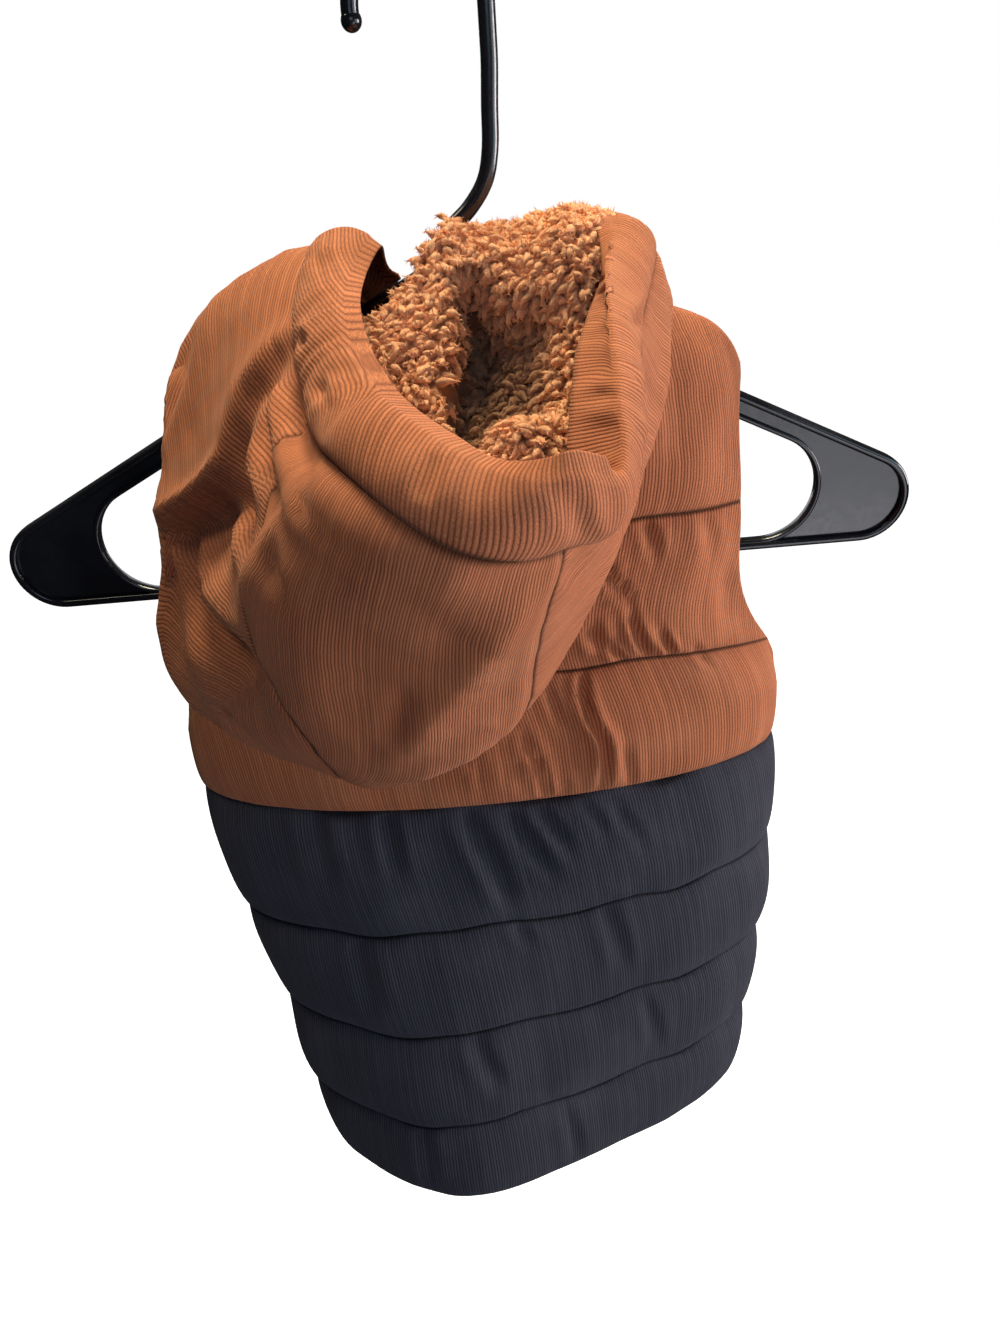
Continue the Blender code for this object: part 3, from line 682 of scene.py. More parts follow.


# the ground colours are partly the cloth's own darker ground and partly painted shade in the
# grooves between the ribs
RUST = corduroy("Rust corduroy", (0.49, 0.165, 0.072), (0.20, 0.057, 0.027),
                (0.50, 0.195, 0.097), 0.10, (1.0, 0.72, 0.52))
NAVY = corduroy("Navy corduroy", (0.051, 0.051, 0.065), (0.010, 0.011, 0.015),
                (0.059, 0.059, 0.073), 0.05, (0.70, 0.76, 0.9))

# %% [markdown]
# The inside of the vest is a plain dark lining cloth. Only glimpses of it show at the
# armholes, the neck and the hem, so a simple weave of two sets of threads is enough.

# %% The plain lining
def build_plain_lining():
    """Threads across times threads along."""
    made, tree, shader = principled("Dark lining cloth")
    place = wales_map(tree)
    weave = maths(tree, "MULTIPLY", *(threads(tree, place, 160.0, 0.6, way) for way in "XY"))
    fed(tree, shader, {"Base Color": mixed(tree, weave, (0.012, 0.009, 0.009, 1),
                                           (0.040, 0.030, 0.028, 1)),
                       "Normal": bumped(tree, weave, 0.3, 0.0002), "Roughness": 0.6})
    return made


LINING = build_plain_lining()

# %% [markdown]
# ## The vest's form
# Level sections of the body, from the hem to the shoulders, each a fuller sort of ellipse with
# its own depth at the back and the front. A smooth curve through the sections gives the
# cloth's place at any height and angle.

# %% The body's sections
HEM, COLOUR_SEAM = -590.0, -340.0
UPPER_LINES = (COLOUR_SEAM, -278.0, -213.0)
LOWER_LINES = (HEM, -530.0, -468.0, -405.0, COLOUR_SEAM)
SHOULDER_TOP, SHOULDER_FALL, SHOULDER_ROLL = -95.0, 0.39, 110.0
NECK_HALF, BACK_NECK_DROP, FRONT_NECK_DROP = 54.0, 18.0, 62.0
FULLNESS = 0.9                       # 1 makes an ellipse, and less a squarer section
BELLY_AT, BELLY_WIDE = 68.0, 27.0    # degrees round the body, where the back swells

# height, centre_x, centre_y, half_width, back_depth, front_depth, turn, belly
SECTIONS = np.array((
    (-590, -10, 2, 121, 55, 58, 8, 18),
    (-530, -10, 5, 129, 53, 60, 7.5, 16),
    (-468, -10, 4, 134, 53, 62, 6, 11),
    (-405, -6, 2, 141, 54, 62, 4.5, 4),
    (-340, 0, -9, 147, 58, 61, 1, 0),
    (-278, 0, -12, 145, 49, 58, 0, 0),
    (-213, -1, -10, 142, 42, 52, 0, 0),
    (-165, -3, -9, 137, 38, 46, 0, 0),
    (-100, -2, -8, 126, 34, 38, 0, 0),
), float)
# height, and how many degrees the back's and the front's armhole edges stand off the side;
# below the armhole the two walls run a little into each other, so that no light comes through
ARMHOLE = np.array((
    (-312, -0.12, -0.12),
    (-300, 8.0, 10.0),
    (-278, 20.0, 24.0),
    (-250, 28.0, 34.0),
    (-213, 33.0, 38.0),
    (-165, 33.0, 37.0),
    (-140, 27.0, 29.0),
    (-110, 20.0, 22.0),
), float)


def shoulder(x):
    """Height of the shoulder line, which falls evenly from the middle."""
    return SHOULDER_TOP - SHOULDER_FALL * np.abs(x)


def body(angle, height):
    """Points of the body: x is a power of the cosine of the angle, y of its sine, both turned
    by the section's turn; near the shoulder the two walls lean together in a quarter round."""
    angle, height = np.broadcast_arrays(np.radians(angle), height)
    at = smooth(SECTIONS[:, 0], SECTIONS[:, 1:], height)
    centre_x, centre_y, half_width, back, front, turn, belly = np.moveaxis(at, -1, 0)
    turn = np.radians(turn)
    cos, sin = np.cos(angle), np.sin(angle)
    across = half_width * np.sign(cos) * np.abs(cos) ** FULLNESS
    out = np.where(sin > 0, back, front) * np.sign(sin) * np.abs(sin) ** FULLNESS
    out = out + belly * np.exp(-((np.degrees(angle) - BELLY_AT) / BELLY_WIDE) ** 2)
    x = centre_x + across * np.cos(turn) - out * np.sin(turn)
    y = centre_y + across * np.sin(turn) + out * np.cos(turn)
    below = np.clip((shoulder(x) - height) / SHOULDER_ROLL, 0, 1)
    return np.stack([x, y * np.sqrt(1 - (1 - below) ** 2), height], axis=-1)


def neckline(x, drop):
    """Height of a panel's top edge: the shoulder line, with the neck's curve cut into it."""
    curve = np.sqrt(np.clip(1 - (x / NECK_HALF) ** 2, 0, 1))
    return np.where(np.abs(x) < NECK_HALF, shoulder(NECK_HALF) - drop * curve, shoulder(x))


def armhole(height, edge):
    """Degrees from the side to an armhole's edge: a smooth curve through the table's column
    1, the back, or 2, the front."""
    return smooth(ARMHOLE[:, 0], ARMHOLE[:, edge], np.maximum(height, ARMHOLE[0, 0]))


widest = SECTIONS[SECTIONS[:, 3].argmax()]
print("the body is widest at", widest[0], "mm, where it spans", 2 * widest[3], "mm")

# %% [markdown]
# ## The quilted panels
# Wadding between two cloths is stitched through along level lines, so each channel swells like
# a pillow and its seam is a sharp valley. The stitches take up some cloth, which makes the
# short ripples that stand on each seam. The swell rises steeply from the seam and is
# flat in the middle, and larger soft ripples and the photograph's own creases go on top.

# %% A quilted panel's grid
ROWS_A_CHANNEL = 20
GAP = 0.3            # between two neighbouring panels
CORNER = 17.0        # the round of the shoulder's outer corner
NECK_STEPS = 6       # a neckline depends on the width at its own height, so it is found in steps
# how far each line is drawn down or up where it ends, at the wearer's left and right side
LINE_ENDS = {-213.0: (0, 0), -278.0: (-5, -11), COLOUR_SEAM: (-5, -6.5), -405.0: (-1, 6),
             -468.0: (0, 0), -530.0: (0, 6), HEM: (6, 0)}


def channel_grid(lines, angles, columns, ends, drop):
    """The panel's grid before it swells, each row's share s of the way up its channel and the
    channel's number, and how tall the channel is at each point.

    Rows crowd towards the quilting lines: s = (1 - cos(pi k / 20)) / 2. A line's ends bend by
    the fourth power of the distance from the panel's middle. Where drop is set, one more
    channel reaches up to the neckline, and the shoulder's outer corner is rounded off."""
    last = len(lines) - 2 + (drop is not None)
    share = 0.5 - 0.5 * np.cos(np.pi * np.arange(ROWS_A_CHANNEL) / ROWS_A_CHANNEL)
    share = np.append(np.tile(share, last + 1), 1.0)[:, None]
    number = np.append(np.repeat(np.arange(last + 1), ROWS_A_CHANNEL), last)
    across = np.linspace(0, 1, columns)[None, :]
    weight = np.stack([np.clip(1 - 2 * across, 0, 1) ** 4, np.clip(2 * across - 1, 0, 1) ** 4])
    bend = np.array([[LINE_ENDS[line][side] if side is not None else 0 for side in ends]
                     for line in lines] + [[0, 0]])
    bent = np.tensordot(bend[number] * (1 - share) + bend[number + 1] * share, weight[:, 0], 1)
    to_shoulder = number[:, None] == len(lines) - 1
    lines = np.append(lines, shoulder(NECK_HALF))
    low = lines[number][:, None]
    top = np.repeat(lines[number + 1][:, None], columns, axis=1)
    for _ in range(1 if drop is None else NECK_STEPS):
        height = low + share * (top - low) + bent
        height[0] += GAP / 2
        height[-1] -= GAP / 2
        first, second = angles(height)
        base = body(first + across * (second - first), height)
        if drop is not None:
            x = base[..., 0]
            inset = np.minimum(np.abs(x - x[:, :1]), np.abs(x - x[:, -1:]))
            inset = np.where(np.abs(x) > NECK_HALF, inset, CORNER)
            cut = CORNER - np.sqrt(CORNER**2 - np.clip(CORNER - inset, 0, CORNER) ** 2)
            top = np.where(to_shoulder, neckline(x, drop) - cut, top)
    return base, height, share, number[:, None], top - low


# %% [markdown]
# On that grid the cloth swells, and it stays clear of the hanger's arms inside the shoulders.
# The edge of each panel is sewn to its neighbour, so painted shade goes only on the stitched
# lines between channels.

# %% Quilted panels
PUFF = 7.6                   # the middle of a channel stands this far off its stitches
WALL = 4.0                   # from the stitches in to the lining
ARMS_ABOVE = -200.0          # the hanger's arms pass above this height
# the hanger's middle, half its span, its apex, its bar's height, and how its arms fall
HANGER_X, HANGER_HALF, HANGER_APEX, HANGER_BAR, ARM_FALL = 3.4, 204.0, -105.5, -242.0, 0.503


def clear_of_arms(grid):
    """The least distance from y = 0 at which a point of a wall clears the hanger's arms."""
    arm = HANGER_APEX - ARM_FALL * np.abs(grid[..., 0] - HANGER_X)
    return GAP / 2 + 4.3 * ease(0, 6, arm + 15 - grid[..., 2])


def quilted(name, lines, angles, columns, finish, ends, seed, drop=None, creases=()):
    """A quilted panel between two edges round the body, up to the neckline where drop is set.

    Over a channel's share s the swell is (1 - |2s - 1|^2.3)^0.55 times PUFF, and less at the
    panel's sides. Short ripples stand on the stitches, long ones and the creases lie between
    them, and the stitched lines wander a little up and down."""
    base, height, share, number, tall = channel_grid(lines, angles, columns, ends, drop)
    across = np.linspace(0, 1, columns)[None, :]
    normal = normals_of(base)
    out_y = np.sign(base[..., 1].mean())
    normal *= np.sign((normal[..., 1] * out_y).mean())
    side = ease(0, 0.16, across) * ease(0, 0.16, 1 - across)
    along = lengths_along(base, 1)
    along = along - along[:, columns // 2][:, None]
    near_seam = np.minimum(share * tall, (1 - share) * tall)
    swell = (1 - np.abs(2 * share - 1) ** 2.3) ** 0.55
    puff = PUFF * swell * (0.12 + 0.88 * side) * (1 + 0.12 * waves(along, height, seed, 90.0))
    if drop is not None:
        puff = puff * (1 - 0.75 * ease(-30, 0, height - neckline(base[..., 0], drop)))
    puff += 0.8 * waves(along, height * 0.35, seed + 1, 15.0) * np.exp(-near_seam / 9) * swell
    puff += 1.0 * waves(along, height * 0.6, seed + 2, 42.0) * swell * side
    puff += 1.35 * creased(base, normal, creases) * np.minimum(1, near_seam / 3)
    outer = base + normal * puff[..., None]
    wander = 2.1 * waves(along, along * 0, seed + 3, 46.0) * np.exp(-near_seam / 3)
    outer[..., 2] += wander * (height > lines[0] + 20) * (height < lines[-1] + 20)
    inner = base - normal * WALL
    if drop is not None:
        clear = clear_of_arms(base)
        for grid in (outer, inner):
            kept = np.maximum(grid[..., 1] * out_y, clear) * out_y
            grid[..., 1] = np.where(base[..., 2] > ARMS_ABOVE, kept, grid[..., 1])
    # painted shade in the grooves of the stitched lines; the panel's sewn edges get none
    painted_stitch_shade = np.where(share < 0.5, number > 0, number < number[-1])
    painted_shade = np.exp(-(near_seam / 0.8) ** 2) * painted_stitch_shade
    made = wall(name, outer, inner, along, height, painted_shade, (finish, LINING))
    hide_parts(name.removesuffix(".look"))


# %% [markdown]
# The back is what the photograph shows: two rust channels and the yoke above the colour seam,
# four navy channels below it. Each crease was read off the photograph as a short path, with
# its width and depth judged from its shade.

# %% The back's creases
# path in the picture, width and depth in mm, and the lip's share of the depth
UPPER_CREASES = (
    (((581, 668), (581, 690), (586, 712), (599, 732), (602, 756), (601, 790)), 2.2, 3.6, 0.9),
    (((522, 728), (532, 750), (541, 770), (545, 794)), 2.2, 3.0, 0.9),
    (((470, 748), (482, 766), (490, 784)), 2.0, 2.4, 0.7),
    (((511, 770), (514, 784), (516, 798)), 1.6, 1.8, 0.9),
    (((561, 770), (565, 782), (568, 796)), 1.7, 2.0, 0.9),
    (((620, 740), (626, 765), (630, 788)), 2.4, 1.3, 0.6),
    (((546, 684), (552, 702), (560, 722)), 2.2, 1.8, 0.6),
    (((598, 560), (610, 578), (630, 596)), 2.4, 2.6, 0.7),
    (((586, 622), (592, 634), (600, 644)), 3.4, 3.0, 0.5),
    (((626, 610), (634, 632), (643, 653)), 2.2, 2.3, 0.9),
    (((655, 624), (662, 640), (671, 654)), 1.9, 1.9, 0.9),
    (((606, 640), (614, 652), (624, 662)), 2.0, 1.8, 0.8),
    (((690, 640), (696, 652), (703, 662)), 2.0, 1.2, 0.6),
    (((640, 516), (648, 534), (652, 552)), 3.0, 1.6, 0.6),
    (((700, 508), (704, 530), (706, 552)), 3.5, 1.1, 0.5),
    (((700, 360), (694, 400), (690, 440)), 6.0, 1.4, 0.4),
    (((672, 352), (668, 400), (672, 455)), 6.0, 1.5, 0.4),
    (((716, 560), (724, 590), (727, 625)), 5.0, 1.2, 0.4),
)
LOWER_CREASES = (
    (((462, 806), (478, 834), (494, 862), (511, 898)), 4.5, 2.6, 0.6),
    (((505, 806), (522, 828), (540, 852), (556, 868)), 3.4, 2.0, 0.7),
    (((534, 802), (552, 822), (571, 843)), 3.0, 1.8, 0.7),
    (((580, 800), (590, 810), (603, 823)), 2.6, 1.6, 0.7),
    (((612, 800), (624, 818), (640, 838)), 3.0, 1.2, 0.6),
    (((380, 804), (392, 834), (401, 870)), 4.0, 1.5, 0.5),
    (((310, 806), (322, 838), (336, 880)), 5.0, 1.6, 0.5),
    (((508, 914), (520, 926), (534, 942)), 3.0, 1.5, 0.6),
    (((600, 900), (612, 928), (620, 960)), 4.5, 1.4, 0.5),
    (((356, 932), (366, 960), (380, 1000)), 5.0, 1.4, 0.5),
    (((470, 1030), (484, 1054), (500, 1080)), 4.5, 1.5, 0.5),
    (((640, 990), (648, 1014), (652, 1040)), 4.0, 1.2, 0.5),
    (((420, 1122), (430, 1148), (436, 1176)), 4.0, 1.3, 0.5),
    (((560, 1098), (568, 1122), (572, 1150)), 4.0, 1.3, 0.5),
)

print("creases on the back:", len(UPPER_CREASES), "above and", len(LOWER_CREASES), "below")

# %% The back's two panels
def back_edges(height):
    """The armhole's edges; on the right it is drawn in a little between the two lines."""
    drawn_in = 7.0 * np.exp(-((height + 258) / 32) ** 2)
    return armhole(height, 1), 180 - armhole(height, 1) - drawn_in


BACK_COLUMNS, FRONT_COLUMNS = 170, 90
quilted("back_lower.look", LOWER_LINES, back_edges, BACK_COLUMNS, NAVY,
        (0, 1), 11, creases=LOWER_CREASES)
quilted("back_upper.look", UPPER_LINES, back_edges, BACK_COLUMNS, RUST,
        (0, 1), 21, drop=BACK_NECK_DROP, creases=UPPER_CREASES)

# %% [markdown]
# The fronts are finished the same way, though the photograph doesn't show them. They meet at
# the zip in the middle, so each needs its own edges round the body.

# %% The fronts
ZIP_HALF = 4.4    # from the middle to a front's edge


def zip_edge(height, way):
    """Degrees from the front's middle to a front's edge, from the section's own formula."""
    half_width = smooth(SECTIONS[:, 0], SECTIONS[:, 3], height)
    return way * np.degrees(np.arcsin((ZIP_HALF / half_width) ** (1 / FULLNESS)))


def left_edges(height):
    """From the zip round to the wearer's left armhole."""
    return 270 + zip_edge(height, 1), 360 - armhole(height, 2)


def right_edges(height):
    """From the wearer's right armhole round to the zip."""
    return 180 + armhole(height, 2), 270 + zip_edge(height, -1)


for way, edges, ends, seed in (("left", left_edges, (None, 0), 31),
                               ("right", right_edges, (1, None), 41)):
    quilted(f"front_{way}_lower.look", LOWER_LINES, edges, FRONT_COLUMNS, NAVY,
            ends, seed)
    quilted(f"front_{way}_upper.look", UPPER_LINES, edges, FRONT_COLUMNS, RUST,
            ends, seed + 5, drop=FRONT_NECK_DROP)

# %% [markdown]
# ## The hood
# The hood is a bag whose mouth lies open on top. Lines run from the mouth's rim outwards, down
# and back under to the neck seam, each through six points. A padded casing rolls round the
# rim, and two seams part the crown into a left, a centre and a right panel.

# %% The hood's lines
HOOD_LINES = np.array((
    ((8, -50, -147), (9, -55, -155), (10, -58, -163), (11, -59, -169), (12, -58, -173),
     (12, -56, -175)),
    ((26, -32, -114), (38, -38, -118), (49, -42, -124), (55, -43, -131), (54, -41, -137),
     (50, -38, -138)),
    ((26, 10, -95), (62, 0, -97), (91, -2, -110), (110, 3, -134), (88, -1, -123),
     (58, -1, -113)),
    ((31, 50, -101), (67, 48, -119), (96, 44, -150), (119, 36, -172), (98, 24, -150),
     (53, 9, -118)),
    ((31, 88, -107), (65, 82, -135), (95, 68, -175), (125, 52, -206), (96, 40, -190),
     (48, 17, -122)),
    ((26, 120, -115), (61, 108, -145), (94, 94, -197), (128, 60, -245), (90, 46, -215),
     (42, 22, -127)),
    ((19, 140, -121), (55, 145, -151), (80, 122, -196), (107, 84, -264), (72, 50, -226),
     (34, 26, -130)),
    ((12, 155, -124), (46, 168, -148), (63, 160, -189), (53, 105, -282), (42, 54, -230),
     (26, 28, -131)),
    ((0, 173, -129), (24, 188, -154), (34, 170, -200), (37, 106, -283), (28, 55, -231),
     (17, 29, -132)),
    ((-11, 182, -134), (7, 196, -161), (12, 168, -208), (21, 110, -278), (14, 55, -229),
     (8, 29, -132)),
    ((-24, 186, -136), (-11, 190, -168), (-6, 156, -215), (1, 112, -268), (0, 55, -223),
     (0, 29, -132)),
    ((-35, 183, -137), (-26, 172, -178), (-21, 148, -212), (-17, 112, -251), (-13, 54, -215),
     (-9, 29, -132)),
    ((-46, 172, -142), (-43, 156, -170), (-40, 134, -194), (-36, 105, -225), (-28, 53, -202),
     (-18, 28, -131)),
    ((-49, 150, -131), (-56, 132, -154), (-55, 116, -175), (-53, 98, -197), (-41, 50, -187),
     (-27, 26, -130)),
    ((-51, 118, -119), (-61, 104, -136), (-66, 90, -155), (-67, 80, -174), (-52, 44, -169),
     (-36, 23, -128)),
    ((-56, 72, -105), (-70, 62, -117), (-77, 56, -135), (-80, 50, -151), (-63, 33, -146),
     (-45, 18, -123)),
    ((-63, 26, -93), (-75, 20, -98), (-85, 12, -110), (-88, 4, -125), (-76, -2, -120),
     (-58, -1, -113)),
    ((-38, -30, -108), (-49, -37, -112), (-57, -41, -121), (-60, -42, -131), (-56, -41, -137),
     (-50, -38, -138)),
    ((-8, -50, -147), (-9, -55, -155), (-10, -58, -163), (-11, -59, -169), (-12, -58, -173),
     (-12, -56, -175)),
), float)
LEFT_SEAM, RIGHT_SEAM = 7, 11    # the lines that the crown's two seams follow
CASING_WIDE = 24.0
BETWEEN = 12                     # grid columns from one line to the next
LINE_PLACES = 161                # grid points along a line
OUTSIDE = np.array([20.0, 400.0, 100.0])


def hood_surface():
    """The lines as one fine grid, [column, point, xyz], and its normals, on the side of a
    point well outside the hood. Both ways the grid follows smooth curves."""
    count, places = HOOD_LINES.shape[:2]
    at = np.linspace(0, count - 1, (count - 1) * BETWEEN + 1)
    across = np.moveaxis(smooth(np.arange(count), HOOD_LINES, at), 1, 0)
    fine = smooth(np.arange(places), across, np.linspace(0, places - 1, LINE_PLACES))
    fine = blurred(np.moveaxis(fine, 0, 1), 12)
    normal = normals_of(fine)
    middle = len(fine) // 2
    return fine, normal * np.sign(normal[middle, 8] @ (OUTSIDE - fine[middle, 8]))


def along_lines(values, run, lengths):
    """Values at given distances along each line."""
    return np.array([[np.interp(want, far, line[:, k]) for k in range(3)]
                     for line, far, want in zip(values, run, lengths)]).transpose(0, 2, 1)


hood, hood_normal = hood_surface()
hood_run = lengths_along(hood, 1)
casing_wide = np.minimum(CASING_WIDE, 0.5 * hood_run[:, -1:])
print("hood grid:", hood.shape)

# %% [markdown]
# The casing is a roll of corduroy with wadding in it, its wales across the roll. It is widest
# round in the middle and thins to both edges, and it twists a little where the rim turns. At
# the wearer's right it also shows its inside, where the lining is sewn to it.

# %% The casing's marks and creases
# line, and where the photograph shows the turned-in edge: across, down, and its y in mm
TURNED_EDGE = np.array((
    (12.3, 566, 480, 152),
    (12.7, 567, 440, 141),
    (13.2, 570, 400, 128),
    (13.8, 575, 352, 106),
    (14.4, 588, 312, 84),
    (15.0, 600, 282, 66),
    (15.6, 608, 250, 48),
), float)
# the photograph's wales on the casing: place, and the way they run
CASING_MARKS = (
    (330, 260, 0.1, 1), (310, 300, 0.35, 1), (305, 350, 0.6, 1), (320, 370, 0.7, 1),
    (332, 388, 0.35, 1), (385, 436, -0.45, 1), (400, 450, -0.55, 1), (430, 480, -0.45, 1),
    (480, 500, -0.32, 1), (520, 510, -0.25, 1), (560, 500, -0.1, 1), (590, 500, 0.05, 1),
    (630, 470, 0.3, 1), (645, 420, 0.5, 1), (650, 380, 0.6, 1), (655, 330, 0.6, 1),
    (645, 280, 0.5, 1))
# path in the picture, width and depth in mm, and the lip's share of the depth
CASING_CREASES = (
    (((286, 366), (293, 357), (302, 352)), 2.0, 2.2, 0.9),
    (((296, 352), (310, 347), (318, 352)), 1.8, 1.6, 0.9),
    (((325, 392), (333, 402), (330, 415)), 2.4, 1.6, 0.7),
    (((560, 478), (566, 505), (572, 540)), 3.4, 1.2, 0.5),
    (((604, 478), (600, 500), (596, 520)), 3.0, 0.7, 0.4),
    (((440, 462), (432, 486), (424, 508)), 3.4, 1.3, 0.5),
    (((655, 300), (640, 318), (626, 330)), 2.6, 1.6, 0.6),
    (((300, 262), (318, 268), (334, 280)), 2.6, 1.4, 0.6),
)


# %% The casing
CASING_ROWS = 22
TURN_ROWS = 9          # and this many more for the cloth that is turned in
CASING_PUFF = 5.0


def turned_edge(station, tucked):
    """The turned-in cloth's inner edge, as the photograph shows it on the right and tucked in
    elsewhere; and how far it is the photograph's, from 0 to 1."""
    edge = placed(*(np.interp(station, TURNED_EDGE[:, 0], TURNED_EDGE[:, k]) for k in (1, 2, 3)))
    there = (ease(11.7, 12.4, station) * (1 - ease(15.0, 15.9, station)))[:, None]
    return tucked + (edge - tucked) * there, there


def build_casing():
    """The roll: outwards 5 sin(pi s)^0.55 over the share s across it, and inwards a
    thickness that is greatest in the middle and at the crown's seam. Ripples run along it,
    the shortest where the rim turns, and the turned-in cloth bows out in pleats."""
    station = np.arange(len(hood)) / BETWEEN
    share = np.linspace(0, 1, CASING_ROWS)[None, :]
    band, out_way = (along_lines(values, hood_run, casing_wide * share)
                     for values in (hood, hood_normal))
    rim = band[:, 0]
    tucked = rim - 4.0 * out_way[:, 0] - 1.0 * (band[:, 3] - rim)
    edge, there = turned_edge(station, tucked)
    turn = np.linspace(0, 1, TURN_ROWS + 1)[None, :-1, None]
    facing = edge[:, None] + (rim - edge)[:, None] * turn
    round_rim = lengths_along(band, 0)[:, :1]
    puff_at = 1 - 0.45 * ease(13.2, 14.5, station)[:, None]
    pinch = (1 - ease(6.0, 7.5, station) + ease(11.5, 13.0, station))[:, None]
    ripple = waves(round_rim, share * 9, 51, 24.0) * 0.5 + waves(round_rim, share * 20, 52, 60.0)
    ripple = ripple + 0.9 * pinch * waves(round_rim * 1.2, share * 5, 55, 12.0)
    out = (CASING_PUFF * puff_at + ripple) * np.sin(np.pi * share) ** 0.55
    out += creased(band, out_way, CASING_CREASES) * np.sin(np.pi * share) ** 0.5
    bow = np.sin(np.pi * turn[..., 0]) * there
    pleats = waves(round_rim, turn[..., 0] * 5, 53, 11.0)
    facing = facing + out_way[:, :1] * (bow * (1.5 + 3.6 * pleats))[..., None]
    outer = np.concatenate([facing, band + out_way * out[..., None]], axis=1)
    normal = normals_of(outer)
    normal *= np.sign((normal[:, TURN_ROWS:] * out_way).sum(axis=-1).mean())
    share = np.concatenate([np.zeros((1, TURN_ROWS)), share], axis=1)
    deep = 1.2 + 5.2 * np.sin(np.pi * share) ** 1.3 + 3.6 * ease(0.7, 1, share)
    along = lengths_along(outer, 1)
    along = along - along[:, TURN_ROWS:TURN_ROWS + 1]
    across = wales_across(band, out_way, CASING_MARKS)
    across = np.concatenate([np.repeat(across[:, :1], TURN_ROWS, axis=1), across], axis=1)
    # painted shade along the casing's edge, where the crown runs in under it
    painted_shade = np.exp(-((1 - share) * casing_wide / 1.1) ** 2) * 0.8
    made = wall("hood_casing.look", outer, outer - normal * deep[..., None], across, along,
                painted_shade, (RUST,))
    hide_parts("hood_casing")


build_casing()

# %% [markdown]
# The crown's panels hang in folds that fan out from the neck. A fold is drawn like a crease,
# but the cloth falls away on one side of it only. Both are given where the photograph shows
# them, and so are a few marks that say which way the wales run.

# %% The crown's folds and creases
# path in the picture, the side that falls (1 left of a path that runs down), then drop,
# steepness and reach in mm
CROWN_FOLDS = (
    # the long edge over the left shoulder
    (((290, 322), (264, 348), (240, 385), (227, 426), (218, 462), (202, 483), (181, 501),
      (150, 520)), -1, 10.5, 2.6, 9.5),
    (((236, 462), (205, 490), (181, 506), (146, 526)), -1, 11.0, 3.4, 32.0),
    # the edges that fall away towards the silhouette
    (((252, 252), (225, 285), (205, 317), (194, 364), (178, 410), (160, 454)), 1, 3.6, 3.0, 14.0),
    (((176, 520), (188, 569), (201, 598), (216, 618), (240, 640), (265, 672)), 1, 10.5, 2.6, 13.0),
    (((156, 540), (175, 608), (188, 655), (201, 691), (222, 722)), 1, 4.5, 2.6, 10.0),
    # the dent beside the left seam, under the casing
    (((284, 420), (292, 462), (304, 500), (330, 528), (372, 545)), 1, 3.0, 3.0, 9.0),
    # the edge where the centre panel turns under to the right
    (((372, 772), (404, 748), (434, 717), (480, 668), (524, 618), (560, 566)), -1, 5.5, 5.0, 26.0),
)
CROWN_CREASES = (
    # the fan of folds between the long edge and the casing
    (((252, 392), (244, 424), (243, 456), (252, 495), (266, 535)), 2.6, -3.6, 0.3),
    (((262, 400), (258, 432), (261, 466), (270, 500)), 2.4, 2.8, 0.3),
    (((278, 378), (274, 404), (276, 440), (284, 476), (294, 500)), 2.6, -3.6, 0.3),
    (((288, 352), (288, 384), (294, 420), (304, 452), (312, 470)), 2.6, 3.6, 0.3),
    (((232, 440), (226, 480), (230, 520), (242, 560), (262, 600)), 2.8, 3.2, 0.3),
    (((213, 488), (218, 520), (228, 552), (246, 584)), 2.8, -3.0, 0.3),
    (((256, 545), (262, 575), (270, 610)), 2.2, 1.6, 0.4),
    (((300, 470), (296, 495), (288, 520)), 3.0, 2.6, 0.3),
    # below the short seam
    (((205, 700), (228, 724), (262, 752), (300, 770)), 2.6, 2.4, 0.6),
    # broad folds of the centre panel
    (((300, 490), (312, 512), (334, 530)), 4.5, 2.6, 0),
    (((345, 600), (354, 660), (372, 736)), 9.0, 2.2, 0.2),
    (((404, 700), (398, 724), (388, 750)), 4.0, 2.0, 0.3),
    (((455, 570), (468, 610), (462, 650)), 10.0, -1.8, 0),
    (((390, 560), (400, 600), (398, 650)), 12.0, 1.6, 0),
    (((566, 588), (586, 560), (606, 520)), 4.0, 2.0, 0.4),
    (((606, 520), (622, 480), (634, 430)), 4.5, 1.8, 0.4),
)
print("on the crown:", len(CROWN_FOLDS), "folds and", len(CROWN_CREASES), "creases")

# %% [markdown]
# Low on the left panel a short seam sets a corner of cloth apart, whose wales run upright. The
# other panels' wales slant, and the centre panel's are finer than the rest.

# %% The crown's wales
# the short seam low on the left panel, and the corner of cloth that lies below it
SIDE_SEAM = np.array(((268, 671), (222, 721)), float)
CORNER_BELOW, CORNER_RIGHT_OF = 668, 205
# the photograph's wales on the three panels: place, and the way they run
LEFT_MARKS = (
    (274, 267, 0.07, 1), (250, 330, 0.1, 1), (220, 365, 0.17, 1), (230, 400, 0.2, 1),
    (190, 430, 0.14, 1), (190, 470, 0.14, 1), (250, 420, 0.4, 1), (250, 470, 0.45, 1),
    (290, 430, 0.5, 1), (240, 560, 0.52, 1), (188, 588, 0.6, 1), (215, 650, 1.0, 0.9))
LOW_LEFT_MARKS = ((245, 730, 0.15, 1), (300, 755, 0.15, 1))
CENTRE_MARKS = (
    (290, 580, 0, 1), (300, 640, -0.1, 1), (340, 520, -0.2, 1), (340, 600, -0.12, 1),
    (340, 680, -0.15, 1), (340, 740, -0.2, 1), (420, 600, -0.3, 1), (430, 680, -0.36, 1),
    (470, 580, -0.4, 1), (500, 620, -0.5, 1), (480, 700, 0.3, 1), (520, 660, 0.4, 1),
    (440, 745, 0.1, 1))
RIGHT_MARKS = (
    (580, 570, -1, 0.9), (600, 520, -1, 0.9), (560, 600, -1, 1.1), (560, 640, -1, 1.0),
    (545, 660, -1, 1), (640, 430, 0.3, 1), (650, 380, 0.6, 1), (655, 330, 0.6, 1),
    (645, 300, 0.6, 1))
FINER = 1.4    # the centre panel's wales are finer than the others'

